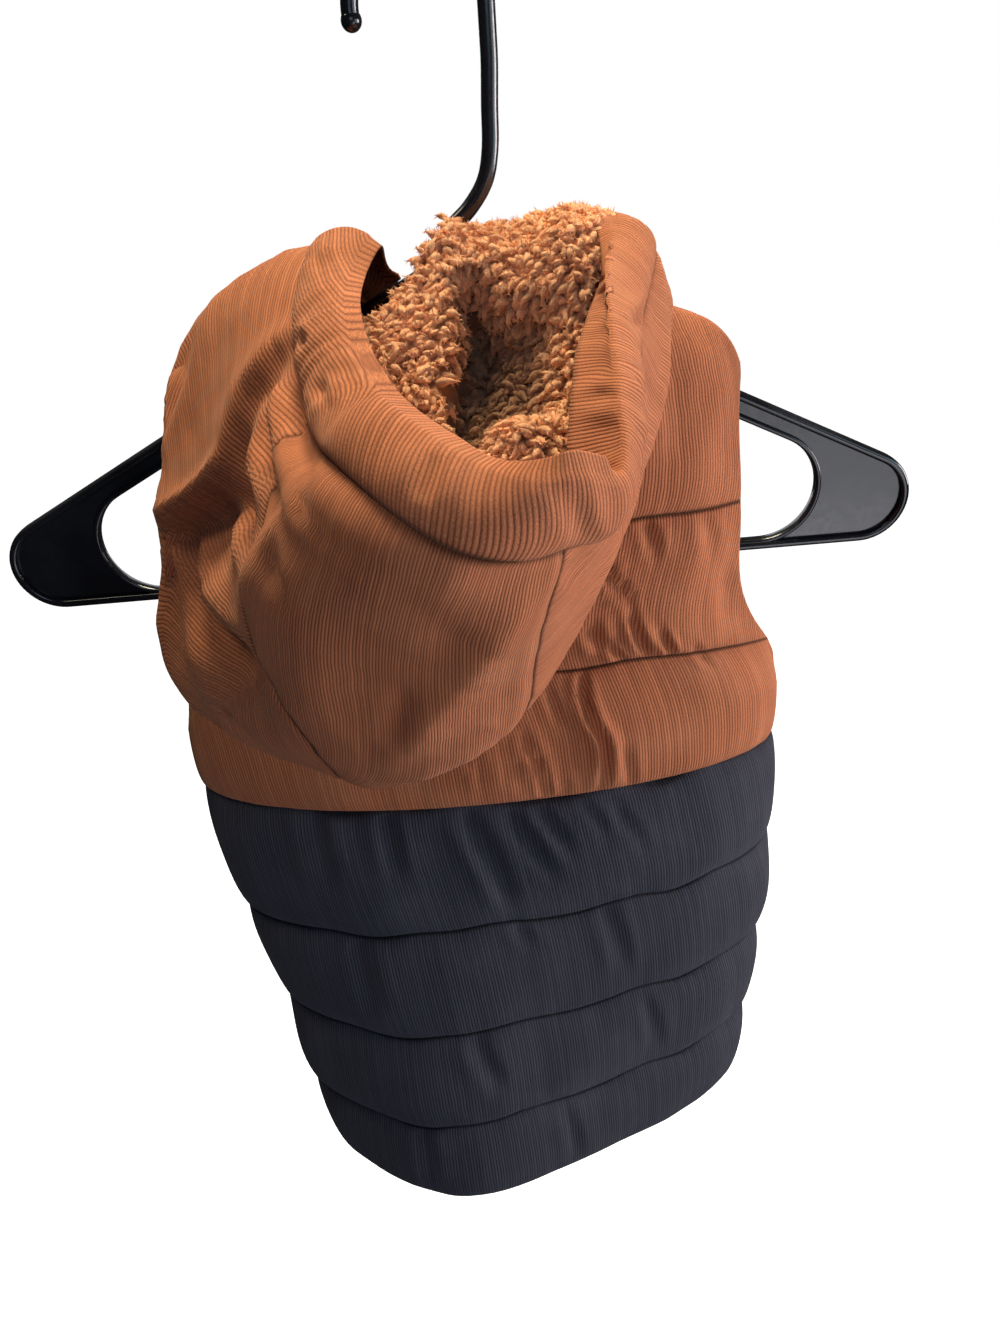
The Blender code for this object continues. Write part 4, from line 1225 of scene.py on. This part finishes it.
# %% [markdown]
# Each panel is a thin wall with its edges turned in at the seams, where the cloth dips to the
# stitches. The crown's grid is laid first, with one column of points on each seam. The folds
# then move it along its normals, and it is cut into the three panels last, so that folds run
# on across the seams.

# %% The crown's grid
CROWN_ROWS = 96
UNDER_CASING = 3.0     # how far the crown's edge lies in under the casing's
SEAM_SWING = 2.6       # the left seam comes from up to so many lines nearer the front


def crown_grid():
    """The shell beyond the casing, its normals, and the two seams' columns.

    Rows are shares of the way down. The seams run across the lines, so in each row the
    columns are spread evenly from seam to seam. At the front the shell falls to the neckline."""
    share = np.linspace(0, 1, CROWN_ROWS)
    still = np.ones(CROWN_ROWS)
    start = casing_wide - UNDER_CASING
    down = start + (hood_run[:, -1:] - start) * share[None]
    lines, ways = (along_lines(values, hood_run, down) for values in (hood, hood_normal))
    last = len(HOOD_LINES) - 1
    left = LEFT_SEAM - SEAM_SWING * (1 - ease(-0.15, 0.32, share))
    ends = (0 * still, left, RIGHT_SEAM * still, last * still)
    counts = np.diff((0, LEFT_SEAM, RIGHT_SEAM, last)) * BETWEEN
    station = [a + (b - a) * np.linspace(0, 1, n + 1)[:-1, None]
               for a, b, n in zip(ends, ends[1:], counts)]
    station = np.concatenate(station + [ends[-1][None]])
    low = np.minimum((station * BETWEEN).astype(int), len(lines) - 2)
    part = (station * BETWEEN - low)[..., None]
    row = np.arange(CROWN_ROWS)[None, :]
    shell, normal = (grid[low, row] * (1 - part) + grid[low + 1, row] * part
                     for grid in (lines, ways))
    front = (1 - ease(1.0, 1.6, station)) + ease(16.4, 17.0, station)
    wanted = neckline(shell[..., 0], FRONT_NECK_DROP) + 1.5
    fall = (wanted - shell[..., 2]) * front * ease(0.25, 1.0, share)[None]
    shell[..., 2] += np.where(shell[..., 1] < 0, fall, 0)
    return shell, normal, (int(counts[0]), int(counts[0] + counts[1]))


# %% The crown's relief
DEEPEST = 14.0    # no fold sinks further than this


def crown_relief(shell, normal, seams):
    """How far the cloth moves along its normals, and its mark of painted shade. Creases, folds and
    ripples add up, and the cloth dips at both seams, under the casing and at the short seam, where
    the mark paints shade."""
    away, round_rim = lengths_along(shell, 1), lengths_along(shell, 0)
    move = creased(shell, normal, CROWN_CREASES)
    move = move + sum(fold(shell, normal, *one) for one in CROWN_FOLDS)
    move = np.maximum(move, -DEEPEST)
    move = move + 1.1 * waves(round_rim, away * 0.5, 61, 46.0)
    move = move + 0.35 * waves(round_rim, away, 62, 17.0)
    move *= ease(0, 7, away) * ease(0, 20, away[:, -1:] - away)
    from_seam = np.minimum(*(np.abs(round_rim - round_rim[s:s + 1]) for s in seams))
    move = move - 0.7 * np.exp(-(from_seam / 1.8) ** 2)
    move = move - 1.3 * np.exp(-(away / 4.0) ** 2)
    dart = crease(shell, normal, SIDE_SEAM, 1.1, -1.0, 0)
    # painted shade: along the edge under the casing, at the two seams and at the short seam
    painted_shade = np.maximum(np.exp(-((away - UNDER_CASING) / 1.1) ** 2),
                      0.6 * np.exp(-(from_seam / 0.6) ** 2))
    return move - dart, np.maximum(painted_shade, 0.6 * np.clip(dart, 0, 1) ** 2)


def below_side_seam(shell):
    """Which points lie in the corner of cloth below the short seam, in the photograph."""
    px, py = np.moveaxis(picture(shell)[0], -1, 0)
    run, off_x, off_y = SIDE_SEAM[1] - SIDE_SEAM[0], px - SIDE_SEAM[0, 0], py - SIDE_SEAM[0, 1]
    under = run[0] * off_y - run[1] * off_x < 0
    return under & (py > CORNER_BELOW) & (px > CORNER_RIGHT_OF)


# %% The crown's panels
def build_crown():
    """Cuts the crown at its seams. Each panel is 2 mm thick, and 3 mm thicker at the casing.
    A panel's flat size is that of its shell before the folds are pressed in."""
    shell, normal, seams = crown_grid()
    move, painted_shade = crown_relief(shell, normal, seams)
    away, round_rim = lengths_along(shell, 1), lengths_along(shell, 0)
    outer = shell + normal * move[..., None]
    inner = outer - normal * (2.0 + 3.0 * np.exp(-(away / 6) ** 2))[..., None]
    below = below_side_seam(shell)
    for name, first, last, marks in (("left", 0, seams[0], LEFT_MARKS),
                                     ("centre", *seams, CENTRE_MARKS),
                                     ("right", seams[1], len(shell) - 1, RIGHT_MARKS)):
        cut = slice(first, last + 1)
        across = wales_across(shell[cut], normal[cut], marks)
        wide, long = flat_size(shell[cut], normal[cut], across)
        if name == "left":
            low = wales_across(shell[cut], normal[cut], LOW_LEFT_MARKS)
            across = np.where(below[cut], low, across)
        if name == "centre":
            across = across * FINER
        made = wall(f"hood_{name}.look", outer[cut], inner[cut], across,
                    round_rim[cut] + away[cut], painted_shade[cut], (RUST,))
        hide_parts(f"hood_{name}")


build_crown()

# %% [markdown]
# ## The sherpa lining
# Sherpa is a knitted pile whose fibres are curled into tight tufts. The sheet under it
# follows the far wall of the hood, over the collar and down to the neck, with a deep valley
# between two lobes. Then a few thousand curled tufts stand on it, each a short bent
# horn with a handful of faces, laid at uneven places and turns.

# %% The sherpa's sheet
# y, where the photograph shows its left end (across, down) and its right end
LINING_ROWS = np.array((
    (140, 405, 572, 556, 566),
    (125, 392, 534, 560, 528),
    (109, 376, 486, 564, 478),
    (91, 360, 428, 570, 416),
    (72, 350, 374, 577, 352),
    (60, 362, 336, 588, 312),
    (50, 400, 302, 600, 280),
    (39, 424, 264, 610, 250),
    (27, 444, 240, 617, 232),
    (17, 450, 238, 612, 228),
    (10, 456, 262, 590, 252),
    (7, 466, 302, 566, 296),
), float)


SHEET_ROWS, SHEET_COLUMNS = 130, 84
ON_LEFT_LOBE = (60, 30)    # a point where the sheet plainly faces up


def sherpa_sheet(rows, columns):
    """The lining's grid, set out in the picture, then moved along its own normal into two
    lobes, a deep valley and a third lobe below; and the painted shade of the valley and the sunk
    part beside it, from 0 to 1."""
    count = len(LINING_ROWS)
    at = smooth(np.arange(count), LINING_ROWS, np.linspace(0, count - 1, rows))
    share = np.linspace(0, 1, columns)[None, :]
    y, x1, z1, x2, z2 = (at[:, k][:, None] for k in range(5))
    px, py = x1 + (x2 - x1) * share, z1 + (z2 - z1) * share
    sheet = blurred(placed(px, py, y), 6)
    normal = normals_of(sheet)
    normal *= np.sign(normal[rows // 2, columns // 2, 2])
    edge = 449 + 4 * np.sin(py / 23.0) - 0.06 * (py - 300) * (py > 300)
    beyond = np.clip(px - edge, 0, None)
    far_side = np.clip(px - edge - 22, 0, None)
    valley = (1 - np.exp(-(beyond / 6) ** 2)) * np.exp(-(far_side / 22) ** 2)
    valley = valley * ease(262, 300, py) * (1 - ease(448, 478, py))
    shaded = ease(472, 490, px) * ease(285, 330, py) * (1 - ease(395, 440, py))
    shaded = shaded * (1 - 0.8 * ease(525, 578, px))
    left = (1 - ease(440, 470, px)) * (1 - ease(440, 480, py))
    top = np.exp(-((px - 572) / 36) ** 2 - ((py - 254) / 38) ** 2)
    low = np.exp(-((px - 532) / 30) ** 2 - ((py - 446) / 30) ** 2)
    rise = 4 * left + 8 * top + 7 * low - 30 * valley - 16 * shaded
    # the second value is painted shade, which darkens the pile in the valley and beside it
    return sheet + normal * rise[..., None], np.clip(valley + shaded, 0, 1)


# %% [markdown]
# The pile's finish goes on the sheet, the tufts and the fibres alike. Tips are paler than
# roots, each tuft has its own tone, and painted shade darkens the pile in the valley.

# %% The sherpa's finish
def build_sherpa_finish():
    """Caramel from root to tip, times fine strands, times painted shade in the valley."""
    made, tree, shader = principled("Caramel sherpa")
    place = own_place(tree)
    strands = noise(tree, place, 1900.0, 3.0, 0.7)
    clumps = mapped(tree, noise(tree, place, 160.0, 2.0, 0.5), 0.5, 0.75)
    own = mapped(tree, mark(tree, "tuft"), 0.3, 1.0)
    colour = mixed(tree, mapped(tree, mark(tree, "tip"), 0.0, 0.8), (0.40, 0.16, 0.070, 1),
                   (1.0, 0.50, 0.25, 1))
    colour = mixed(tree, maths(tree, "MULTIPLY", own, 0.35), colour, (1.0, 0.56, 0.30, 1))
    colour = mixed(tree, maths(tree, "MULTIPLY", clumps, 0.35), colour, (0.64, 0.27, 0.10, 1))
    # painted shade: deep in the valley the colour falls to 0.34 of itself
    tone = maths(tree, "MULTIPLY", mapped(tree, strands, 0.25, 0.75, 0.7, 1.35),
                 mapped(tree, mark(tree, "painted_shade"), 0.15, 1.0, 1.0, 0.34))
    fed(tree, shader, {"Base Color": toned(tree, colour, tone), "Roughness": 0.95,
                       "Normal": bumped(tree, strands, 0.9, 0.0006), "Sheen Weight": 0.45,
                       "Sheen Tint": (1.0, 0.70, 0.45, 1), "Specular IOR Level": 0.1})
    return made


def build_sherpa(material):
    """The knitted sheet, 3 mm thick, with low lumps that show between the tufts."""
    sheet, painted_valley_shade = sherpa_sheet(SHEET_ROWS, SHEET_COLUMNS)
    normal = normals_of(sheet)
    normal *= np.sign(normal[ON_LEFT_LOBE][2])
    across, along = lengths_along(sheet, 1), lengths_along(sheet, 0)
    lumps = 1.0 * waves(across, along, 71, 7.0) + 0.8 * waves(across, along, 72, 15.0)
    # the sheet carries the valley's painted shade
    made = wall("hood_lining.look", sheet + normal * lumps[..., None], sheet - normal * 3.0,
                across, along, painted_valley_shade, (material,))
    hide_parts("hood_lining")
    return sheet, normal, painted_valley_shade


SHERPA = build_sherpa_finish()
sherpa, sherpa_normal, sherpa_painted_shade = build_sherpa(SHERPA)

# %% [markdown]
# One tuft is a horn of six rings that bends over and thins to its tip. All of them are
# computed at once: each gets a place on the sheet, a way to lean, a length and a curl. Fine
# fibres then stand off the horns, because sherpa's outline is soft.

# %% Uneven places on the sheet
TUFT_SPACING = 2.45
BEHIND_ROLL = 118.0    # rows with a greater y lie behind the casing and carry no tufts


def scattered(grids, chance):
    """The grids' values at uneven places, one for each square of TUFT_SPACING on the first
    grid: the middle of the square, moved up to 0.45 of its side each way by chance."""
    rows, columns = grids[0].shape[:2]
    long, wide = lengths_along(grids[0], 0)[-1].mean(), lengths_along(grids[0], 1)[:, -1].mean()
    down, over = int(long / TUFT_SPACING), int(wide / TUFT_SPACING)
    place = np.stack(np.meshgrid(np.arange(down) + 0.5, np.arange(over) + 0.5, indexing="ij"), -1)
    place = place.reshape(-1, 2) + chance.uniform(-0.45, 0.45, (down * over, 2))
    r = np.clip(place[:, 0] / down * (rows - 1), 0, rows - 1.001)
    c = np.clip(place[:, 1] / over * (columns - 1), 0, columns - 1.001)
    i, j = r.astype(int), c.astype(int)
    u, v = (r - i)[:, None], (c - j)[:, None]
    return [(grid[i, j] * (1 - u) + grid[i + 1, j] * u) * (1 - v)
            + (grid[i, j + 1] * (1 - u) + grid[i + 1, j + 1] * u) * v for grid in grids]


def unit(vectors):
    """Vectors with a length of 1."""
    return vectors / np.maximum(np.linalg.norm(vectors, axis=-1, keepdims=True), 1e-9)


# %% The tufts
RINGS, SIDES, FIBRES = 6, 6, 42000
DOWNHILL = np.array([0.35, -0.2, -1.0])


def tufts(name, sheet, normal, painted_valley_shade, material, seed):
    """Curled horns. Ring r at share s stands at base + up * rise(s) + lean * reach(s), which
    is part of a small circle, with radius 1.62 (1 - 0.96 s^2.4)^0.5 mm, scaled by chance.
    Returns where fibres grow, picked by chance: the place, the way, the share and the painted
    valley shade."""
    chance = np.random.default_rng(seed)
    root, up, painted_valley_shade = scattered((sheet, normal, painted_valley_shade[..., None]), chance)
    clear = root[:, 1] < BEHIND_ROLL
    root, up, painted_valley_shade = root[clear], unit(up[clear]), painted_valley_shade[clear, 0]
    count = len(root)
    downhill = DOWNHILL + chance.normal(0, 0.55, (count, 3))
    lean = unit(downhill - up * (downhill * up).sum(axis=1, keepdims=True))
    aside = np.cross(up, lean)
    size = chance.uniform(0.65, 1.25, (count, 1, 1))
    s = np.linspace(0, 1, RINGS)[None, :, None]
    bend = chance.uniform(1.2, 2.6, (count, 1, 1))
    twist = chance.uniform(-1.0, 1.0, (count, 1, 1))
    rise = 4.6 * size * np.sin(bend * s) / bend * 1.4
    reach = 4.6 * size * (1 - np.cos(bend * s)) / bend * 1.5
    middle = (root[:, None] + up[:, None] * (rise - 1.2) + lean[:, None] * reach
              + aside[:, None] * twist * 1.6 * s ** 2)
    tangent = unit(np.gradient(middle, axis=1))
    first = unit(np.cross(tangent, aside[:, None]))
    second = np.cross(tangent, first)
    thin = np.sqrt(np.clip(1.0 - 0.96 * s ** 2.4, 0.03, 1))
    radius = 1.62 * size * thin * (0.82 + 0.22 * np.sin(8 * s + 6 * twist))
    turn = np.linspace(0, 2 * np.pi, SIDES, endpoint=False)[:, None]
    ring = (middle[:, :, None] + radius[..., None] * (first[:, :, None] * np.cos(turn)
                                                     + second[:, :, None] * np.sin(turn)))
    start = (np.arange(count) * RINGS * SIDES)[:, None]
    tips = start + (RINGS - 1) * SIDES + np.arange(SIDES)
    foot = start + np.arange(SIDES)[::-1]
    faces = (start[..., None] + tube_faces(RINGS, SIDES)).reshape(-1, 4)
    # each tuft carries the painted valley shade of its root
    made = new_piece(name, ring.reshape(-1, 3), faces.tolist() + tips.tolist() + foot.tolist(),
                     (material,),
                     [("tuft", np.repeat(chance.uniform(0, 1, count), RINGS * SIDES)),
                      ("tip", np.tile(np.repeat(s[0, :, 0], SIDES), count)),
                      ("painted_shade", np.repeat(painted_valley_shade, RINGS * SIDES))])
    made.data.shade_smooth()
    print("tufts:", count)
    horn, at, side = (chance.integers(low, high, FIBRES)
                      for low, high in ((0, count), (1, RINGS), (0, SIDES)))
    outwards = unit(ring - middle[:, :, None])[horn, at, side]
    return ring[horn, at, side], outwards + 0.8 * tangent[horn, at], s[0, at, 0], painted_valley_shade[horn]


# %% The fibres
def fibres(name, roots, ways, share, painted_valley_shade, material, seed):
    """Fine fibres that stand off the tufts: three-sided spikes, 0.26 mm from the middle to a
    corner at the root and 1 to 2 mm long, each sent a little astray by chance."""
    chance = np.random.default_rng(seed)
    count = len(roots)
    ways = unit(ways + chance.normal(0, 0.45, (count, 3)))
    aside = unit(np.cross(ways, chance.normal(0, 1, (count, 3))))
    other = np.cross(ways, aside)
    turn = np.radians([90, 210, 330])[None, :, None]
    foot = roots[:, None] - ways[:, None] * 0.3 + 0.26 * (aside[:, None] * np.cos(turn)
                                                         + other[:, None] * np.sin(turn))
    tip = roots + ways * chance.uniform(1.0, 2.0, (count, 1))
    points = np.concatenate([foot, tip[:, None]], axis=1).reshape(-1, 3)
    spike = np.array([(0, 1, 3), (1, 2, 3), (2, 0, 3), (2, 1, 0)])
    faces = np.arange(count)[:, None, None] * 4 + spike
    # each fibre carries its tuft's painted valley shade
    new_piece(name, points, faces.reshape(-1, 3).tolist(), (material,),
              [("tuft", np.repeat(chance.uniform(0, 1, count), 4)),
               ("tip", np.repeat(0.35 + 0.65 * share, 4)), ("painted_shade", np.repeat(painted_valley_shade, 4))])


grown = tufts("hood_lining_curls", sherpa, sherpa_normal, sherpa_painted_shade, SHERPA, 81)
fibres("hood_lining_fibres", *grown, SHERPA, 82)

# %% [markdown]
# ## The hanger
# A moulded plastic hanger: a raised rim goes all round, a second one round the opening, and a
# thin web fills the ends between them. Its gloss shows broad, soft reflections. The
# rims are rounded profiles carried along a path, so that their edges catch the light.

# %% Profiles along a path
def arc(centre, radius, first, last, count):
    """Points of a circle from one angle to another, in degrees."""
    angle = np.radians(np.linspace(first, last, count))
    return np.asarray(centre) + radius * np.column_stack([np.cos(angle), np.sin(angle)])


def resampled(path, count):
    """A closed path with its points evenly spaced."""
    shut = np.concatenate([path, path[:1]])
    far = np.concatenate([[0], np.cumsum(np.linalg.norm(np.diff(shut, axis=0), axis=1))])
    want = np.linspace(0, far[-1], count, endpoint=False)
    return np.column_stack([np.interp(want, far, shut[:, k]) for k in range(2)])


def profiled(path, deep, half, inset, sides=16, power=3.5, closed=True):
    """Points and faces of a rounded bar along a path in x and z. Its section is a
    superellipse, deep across the path and 2 * half from front to back."""
    after, before = np.roll(path, -1, axis=0), np.roll(path, 1, axis=0)
    if not closed:
        after[-1], before[0] = path[-1], path[0]
    tangent = unit(after - before)
    side = np.column_stack([tangent[:, 1], -tangent[:, 0]])
    turn = np.linspace(0, 2 * np.pi, sides, endpoint=False)
    round_x = np.sign(np.cos(turn)) * np.abs(np.cos(turn)) ** (2 / power) * deep / 2 - inset
    round_y = np.sign(np.sin(turn)) * np.abs(np.sin(turn)) ** (2 / power) * half
    flat = path[:, None] - side[:, None] * round_x[None, :, None]
    points = np.stack([flat[..., 0], np.broadcast_to(round_y, flat.shape[:2]), flat[..., 1]], -1)
    faces = tube_faces(len(path), sides, closed).tolist()
    if not closed:
        end = (len(path) - 1) * sides
        faces += [list(range(sides - 1, -1, -1)), list(range(end, end + sides))]
    return points.reshape(-1, 3), faces


# %% [markdown]
# The rim and the opening are both outlines with straight falling arms, a round end and a level
# bar. Each half has only the points that its shape needs, and the other half mirrors it.

# %% The hanger's outlines
RIM_WIDE = 10.5              # from the arm's upper edge in to the opening, square to the arm
OPENING_END = 42.5           # from the hanger's tip in to the opening's
BAR_WIDE = 4.5
OUTER_POINTS, OPENING_POINTS = 420, 360
LEAN = np.degrees(np.arctan(ARM_FALL))


def end_round(top, floor_at, reach):
    """The round that meets the arm's line, a level floor and an upright at x = reach."""
    slope = np.hypot(1, ARM_FALL)
    radius = (top - ARM_FALL * reach - floor_at) / (1 + slope - ARM_FALL)
    return (reach - radius, floor_at + radius), radius


def outline(peak, top, floor_at, reach, count):
    """A closed outline: a peak beside the middle, the arm down to its end's round, the level
    floor, and all of it mirrored."""
    half = np.concatenate([[peak], arc(*end_round(top, floor_at, reach), 90 - LEAN, -90, 40),
                           [(40.0, floor_at)]])
    return resampled(np.concatenate([half, half[::-1] * (-1, 1)]) + (HANGER_X, 0), count)


drop = RIM_WIDE * np.hypot(1, ARM_FALL)
hanger_rim = outline((6.0, HANGER_APEX - ARM_FALL * 6.0), HANGER_APEX, HANGER_BAR, HANGER_HALF,
                     OUTER_POINTS)
hanger_hole = outline((5.0, HANGER_APEX - drop - 3.0), HANGER_APEX - drop,
                      HANGER_BAR + BAR_WIDE, HANGER_HALF - OPENING_END, OPENING_POINTS)
print("the hanger spans", round(float(np.ptp(hanger_rim[:, 0])), 1), "mm")

# %% [markdown]
# The hook is a round wire: most of a circle that ends in a small ball, and a stem that sways
# down into the arms. The web bridges the two outlines where they part at the hanger's ends.

# %% The hook and the web
HOOK_WIRE, HOOK_ROUND, BALL = 3.3, 24.5, 3.9
STEM = np.array([(-24.4, -30), (-24.2, -40), (-23.2, -54), (-22.3, -68), (-19.5, -79),
                 (-13, -88), (-5, -95), (1.5, -103), (3.4, -113)])
WEB_HALF = 1.2


def hook():
    """The wire along its path, and the ball on its end as a half circle turned round z."""
    ring = arc((0, HOOK_WIRE - HOOK_ROUND), HOOK_ROUND, -6, 180, 70)
    stem = smooth(np.arange(len(STEM)), STEM, np.linspace(0, len(STEM) - 1, 60))
    wire = profiled(np.concatenate([ring, stem]), 2 * HOOK_WIRE, HOOK_WIRE, 0.0, sides=20,
                    power=2.0, closed=False)
    half = arc((0, 0), 1, -90, 90, 12)
    turn = np.linspace(0, 2 * np.pi, 20, endpoint=False)
    ball = np.stack([half[:, :1] * np.cos(turn) * BALL, half[:, :1] * np.sin(turn) * BALL,
                     np.repeat(half[:, 1:], 20, axis=1) * BALL], -1)
    ball = ball + (ring[0][0], 0, ring[0][1])
    return wire, (ball.reshape(-1, 3), tube_faces(12, 20).tolist())


def web(rim, hole):
    """The thin web: the space between the rim's path and the opening's path, bridged at
    equal angles about the hanger's middle, WEB_HALF to both sides, its edges hidden."""
    middle = np.array([HANGER_X, -190.0])
    want = np.linspace(-np.pi, np.pi, 720, endpoint=False)

    def at_angles(path):
        """The path's points at the wanted angles about the middle."""
        way = np.arctan2(*(path - middle).T[::-1])
        order = np.argsort(way)
        way, path = way[order], path[order]
        return np.column_stack([np.interp(want, way, path[:, k], period=2 * np.pi)
                                for k in range(2)])

    out, inn = at_angles(rim), at_angles(hole)
    out, inn = out + (middle - out) * 0.008, inn + (out - inn) * 0.02
    layers = [(out, WEB_HALF), (inn, WEB_HALF), (inn, -WEB_HALF), (out, -WEB_HALF)]
    points = np.concatenate([np.column_stack([p[:, 0], np.full(len(p), y), p[:, 1]])
                             for p, y in layers])
    return points, tube_faces(len(layers), len(want), closed=True).tolist()


# %% [markdown]
# The plastic is nearly black and shiny. What shows is its reflections, so a faint flow texture
# bends them a little, and a fine grain breaks them up.

# %% The hanger
def build_plastic():
    """Roughness and height from a broad flow of 22 lumps a metre and a fine grain of 420."""
    made, tree, shader = principled("Black hanger plastic")
    place = own_place(tree)
    flow = noise(tree, place, 22.0, 3.0, 0.55)
    grain = noise(tree, place, 420.0, 2.0, 0.5)
    rough = maths(tree, "ADD", mapped(tree, flow, 0.3, 0.75, 0.10, 0.20),
                  mapped(tree, grain, 0.3, 0.7, 0.0, 0.07))
    height = maths(tree, "ADD", flow, maths(tree, "MULTIPLY", grain, 0.03))
    fed(tree, shader, {"Base Color": mixed(tree, mapped(tree, flow, 0.35, 0.7),
                                           (0.006, 0.006, 0.008, 1), (0.014, 0.015, 0.019, 1)),
                       "Roughness": rough, "Normal": bumped(tree, height, 0.25, 0.0015)})
    return made


def build_hanger(material):
    """Rim, opening's rim, hook, ball and web in one mesh, its faces turned outwards."""
    parts = [profiled(hanger_rim, deep=3.8, half=4.0, inset=1.8),
             profiled(hanger_hole, deep=2.6, half=2.9, inset=-1.1),
             *hook(), web(hanger_rim, hanger_hole)]
    starts = np.cumsum([0] + [len(points) for points, _ in parts])
    faces = [[int(start) + v for v in face] for start, (_, own) in zip(starts, parts)
             for face in own]
    made = new_piece("hanger.look", np.concatenate([points for points, _ in parts]), faces,
                     (material,))
    face_out(made.data, merge=1e-6)
    made.data.shade_smooth()
    made.data.set_sharp_from_angle(angle=0.9)
    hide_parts("hanger")


build_hanger(build_plastic())

# %% [markdown]
# ## The zip
# The zip closes the fronts. Its tapes are woven, its teeth are moulded blocks that mesh
# alternately, and the slider with its pull tab is a dark lacquered casting. The frame's own
# tapes, slider and tab have the right shape, so they only get finer materials.

# %% The zip's finishes
def build_tape():
    """Slanting woven ribs about 1.4 mm apart, in colour and in height."""
    made, tree, shader = principled("Zip tape")
    ribs = threads(tree, own_place(tree), 260.0, 1.0, "DIAGONAL")
    fed(tree, shader, {"Base Color": mixed(tree, ribs, (0.010, 0.011, 0.016, 1),
                                           (0.030, 0.033, 0.045, 1)),
                       "Normal": bumped(tree, ribs, 0.5, 0.0003), "Roughness": 0.85})
    return made


def build_metal():
    """Dark lacquer, worn paler and smoother in small patches."""
    made, tree, shader = principled("Dark zip metal")
    worn = noise(tree, own_place(tree), 300.0, 3.0, 0.6)
    fed(tree, shader, {"Base Color": mixed(tree, mapped(tree, worn, 0.45, 0.7),
                                           (0.10, 0.092, 0.085, 1), (0.20, 0.185, 0.165, 1)),
                       "Roughness": mapped(tree, worn, 0.3, 0.7, 0.28, 0.42), "Metallic": 1.0})
    return made


def build_tooth_plastic():
    """Dark plastic with a fine uneven gloss."""
    made, tree, shader = principled("Moulded teeth")
    grain = noise(tree, own_place(tree), 500.0)
    fed(tree, shader, {"Base Color": (0.016, 0.017, 0.022, 1),
                       "Roughness": mapped(tree, grain, 0.3, 0.7, 0.3, 0.5)})
    return made


TAPE, METAL = build_tape(), build_metal()
for node, finish in (("zip_tape_left", TAPE), ("zip_tape_right", TAPE), ("zip_slider", METAL),
                     ("zip_pull", METAL)):
    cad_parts[node].data.materials.clear()
    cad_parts[node].data.materials.append(finish)
print("finishes on the frame's own pieces:", TAPE.name, "and", METAL.name)

# %% [markdown]
# The teeth follow the front's middle line down from the neck, in two rows half a step apart.
# There are a few hundred of them, so each is a block of six faces, narrower at its back.

# %% The teeth
TEETH_TOP, TOOTH_STEP = -186.0, 1.2
TOOTH_HALF = (1.5, 0.9, 0.5)    # half a tooth's width, depth and height


def build_teeth(material):
    """Blocks of 3.0 by 1.8 by 1.0 mm, one row's 2.4 mm apart and the other's between them."""
    height = np.arange(HEM + 4, TEETH_TOP, TOOTH_STEP)
    middle = body(np.full(len(height), 270.0), height)
    way = np.where(np.arange(len(height)) % 2 == 0, 1.0, -1.0)
    corner = np.array([(i, j, k) for i in (-1, 1) for j in (-1, 1) for k in (-1, 1)], float)
    taper = 1 - 0.25 * (corner[:, 1:2] < 0)
    block = corner * TOOTH_HALF * np.concatenate([taper, np.ones_like(taper), taper], axis=1)
    centre = middle + np.stack([way * 0.9, np.full(len(way), WALL + 0.1), 0 * way], axis=-1)
    points = (centre[:, None] + block[None]).reshape(-1, 3)
    faces = np.array([(0, 1, 3, 2), (4, 6, 7, 5), (0, 4, 5, 1), (2, 3, 7, 6), (0, 2, 6, 4),
                      (1, 5, 7, 3)])
    every = (np.arange(len(height))[:, None, None] * 8 + faces[None]).reshape(-1, 4)
    made = new_piece("zip_teeth", points, every.tolist(), (material,))
    face_out(made.data)
    print("teeth:", len(height))


build_teeth(build_tooth_plastic())
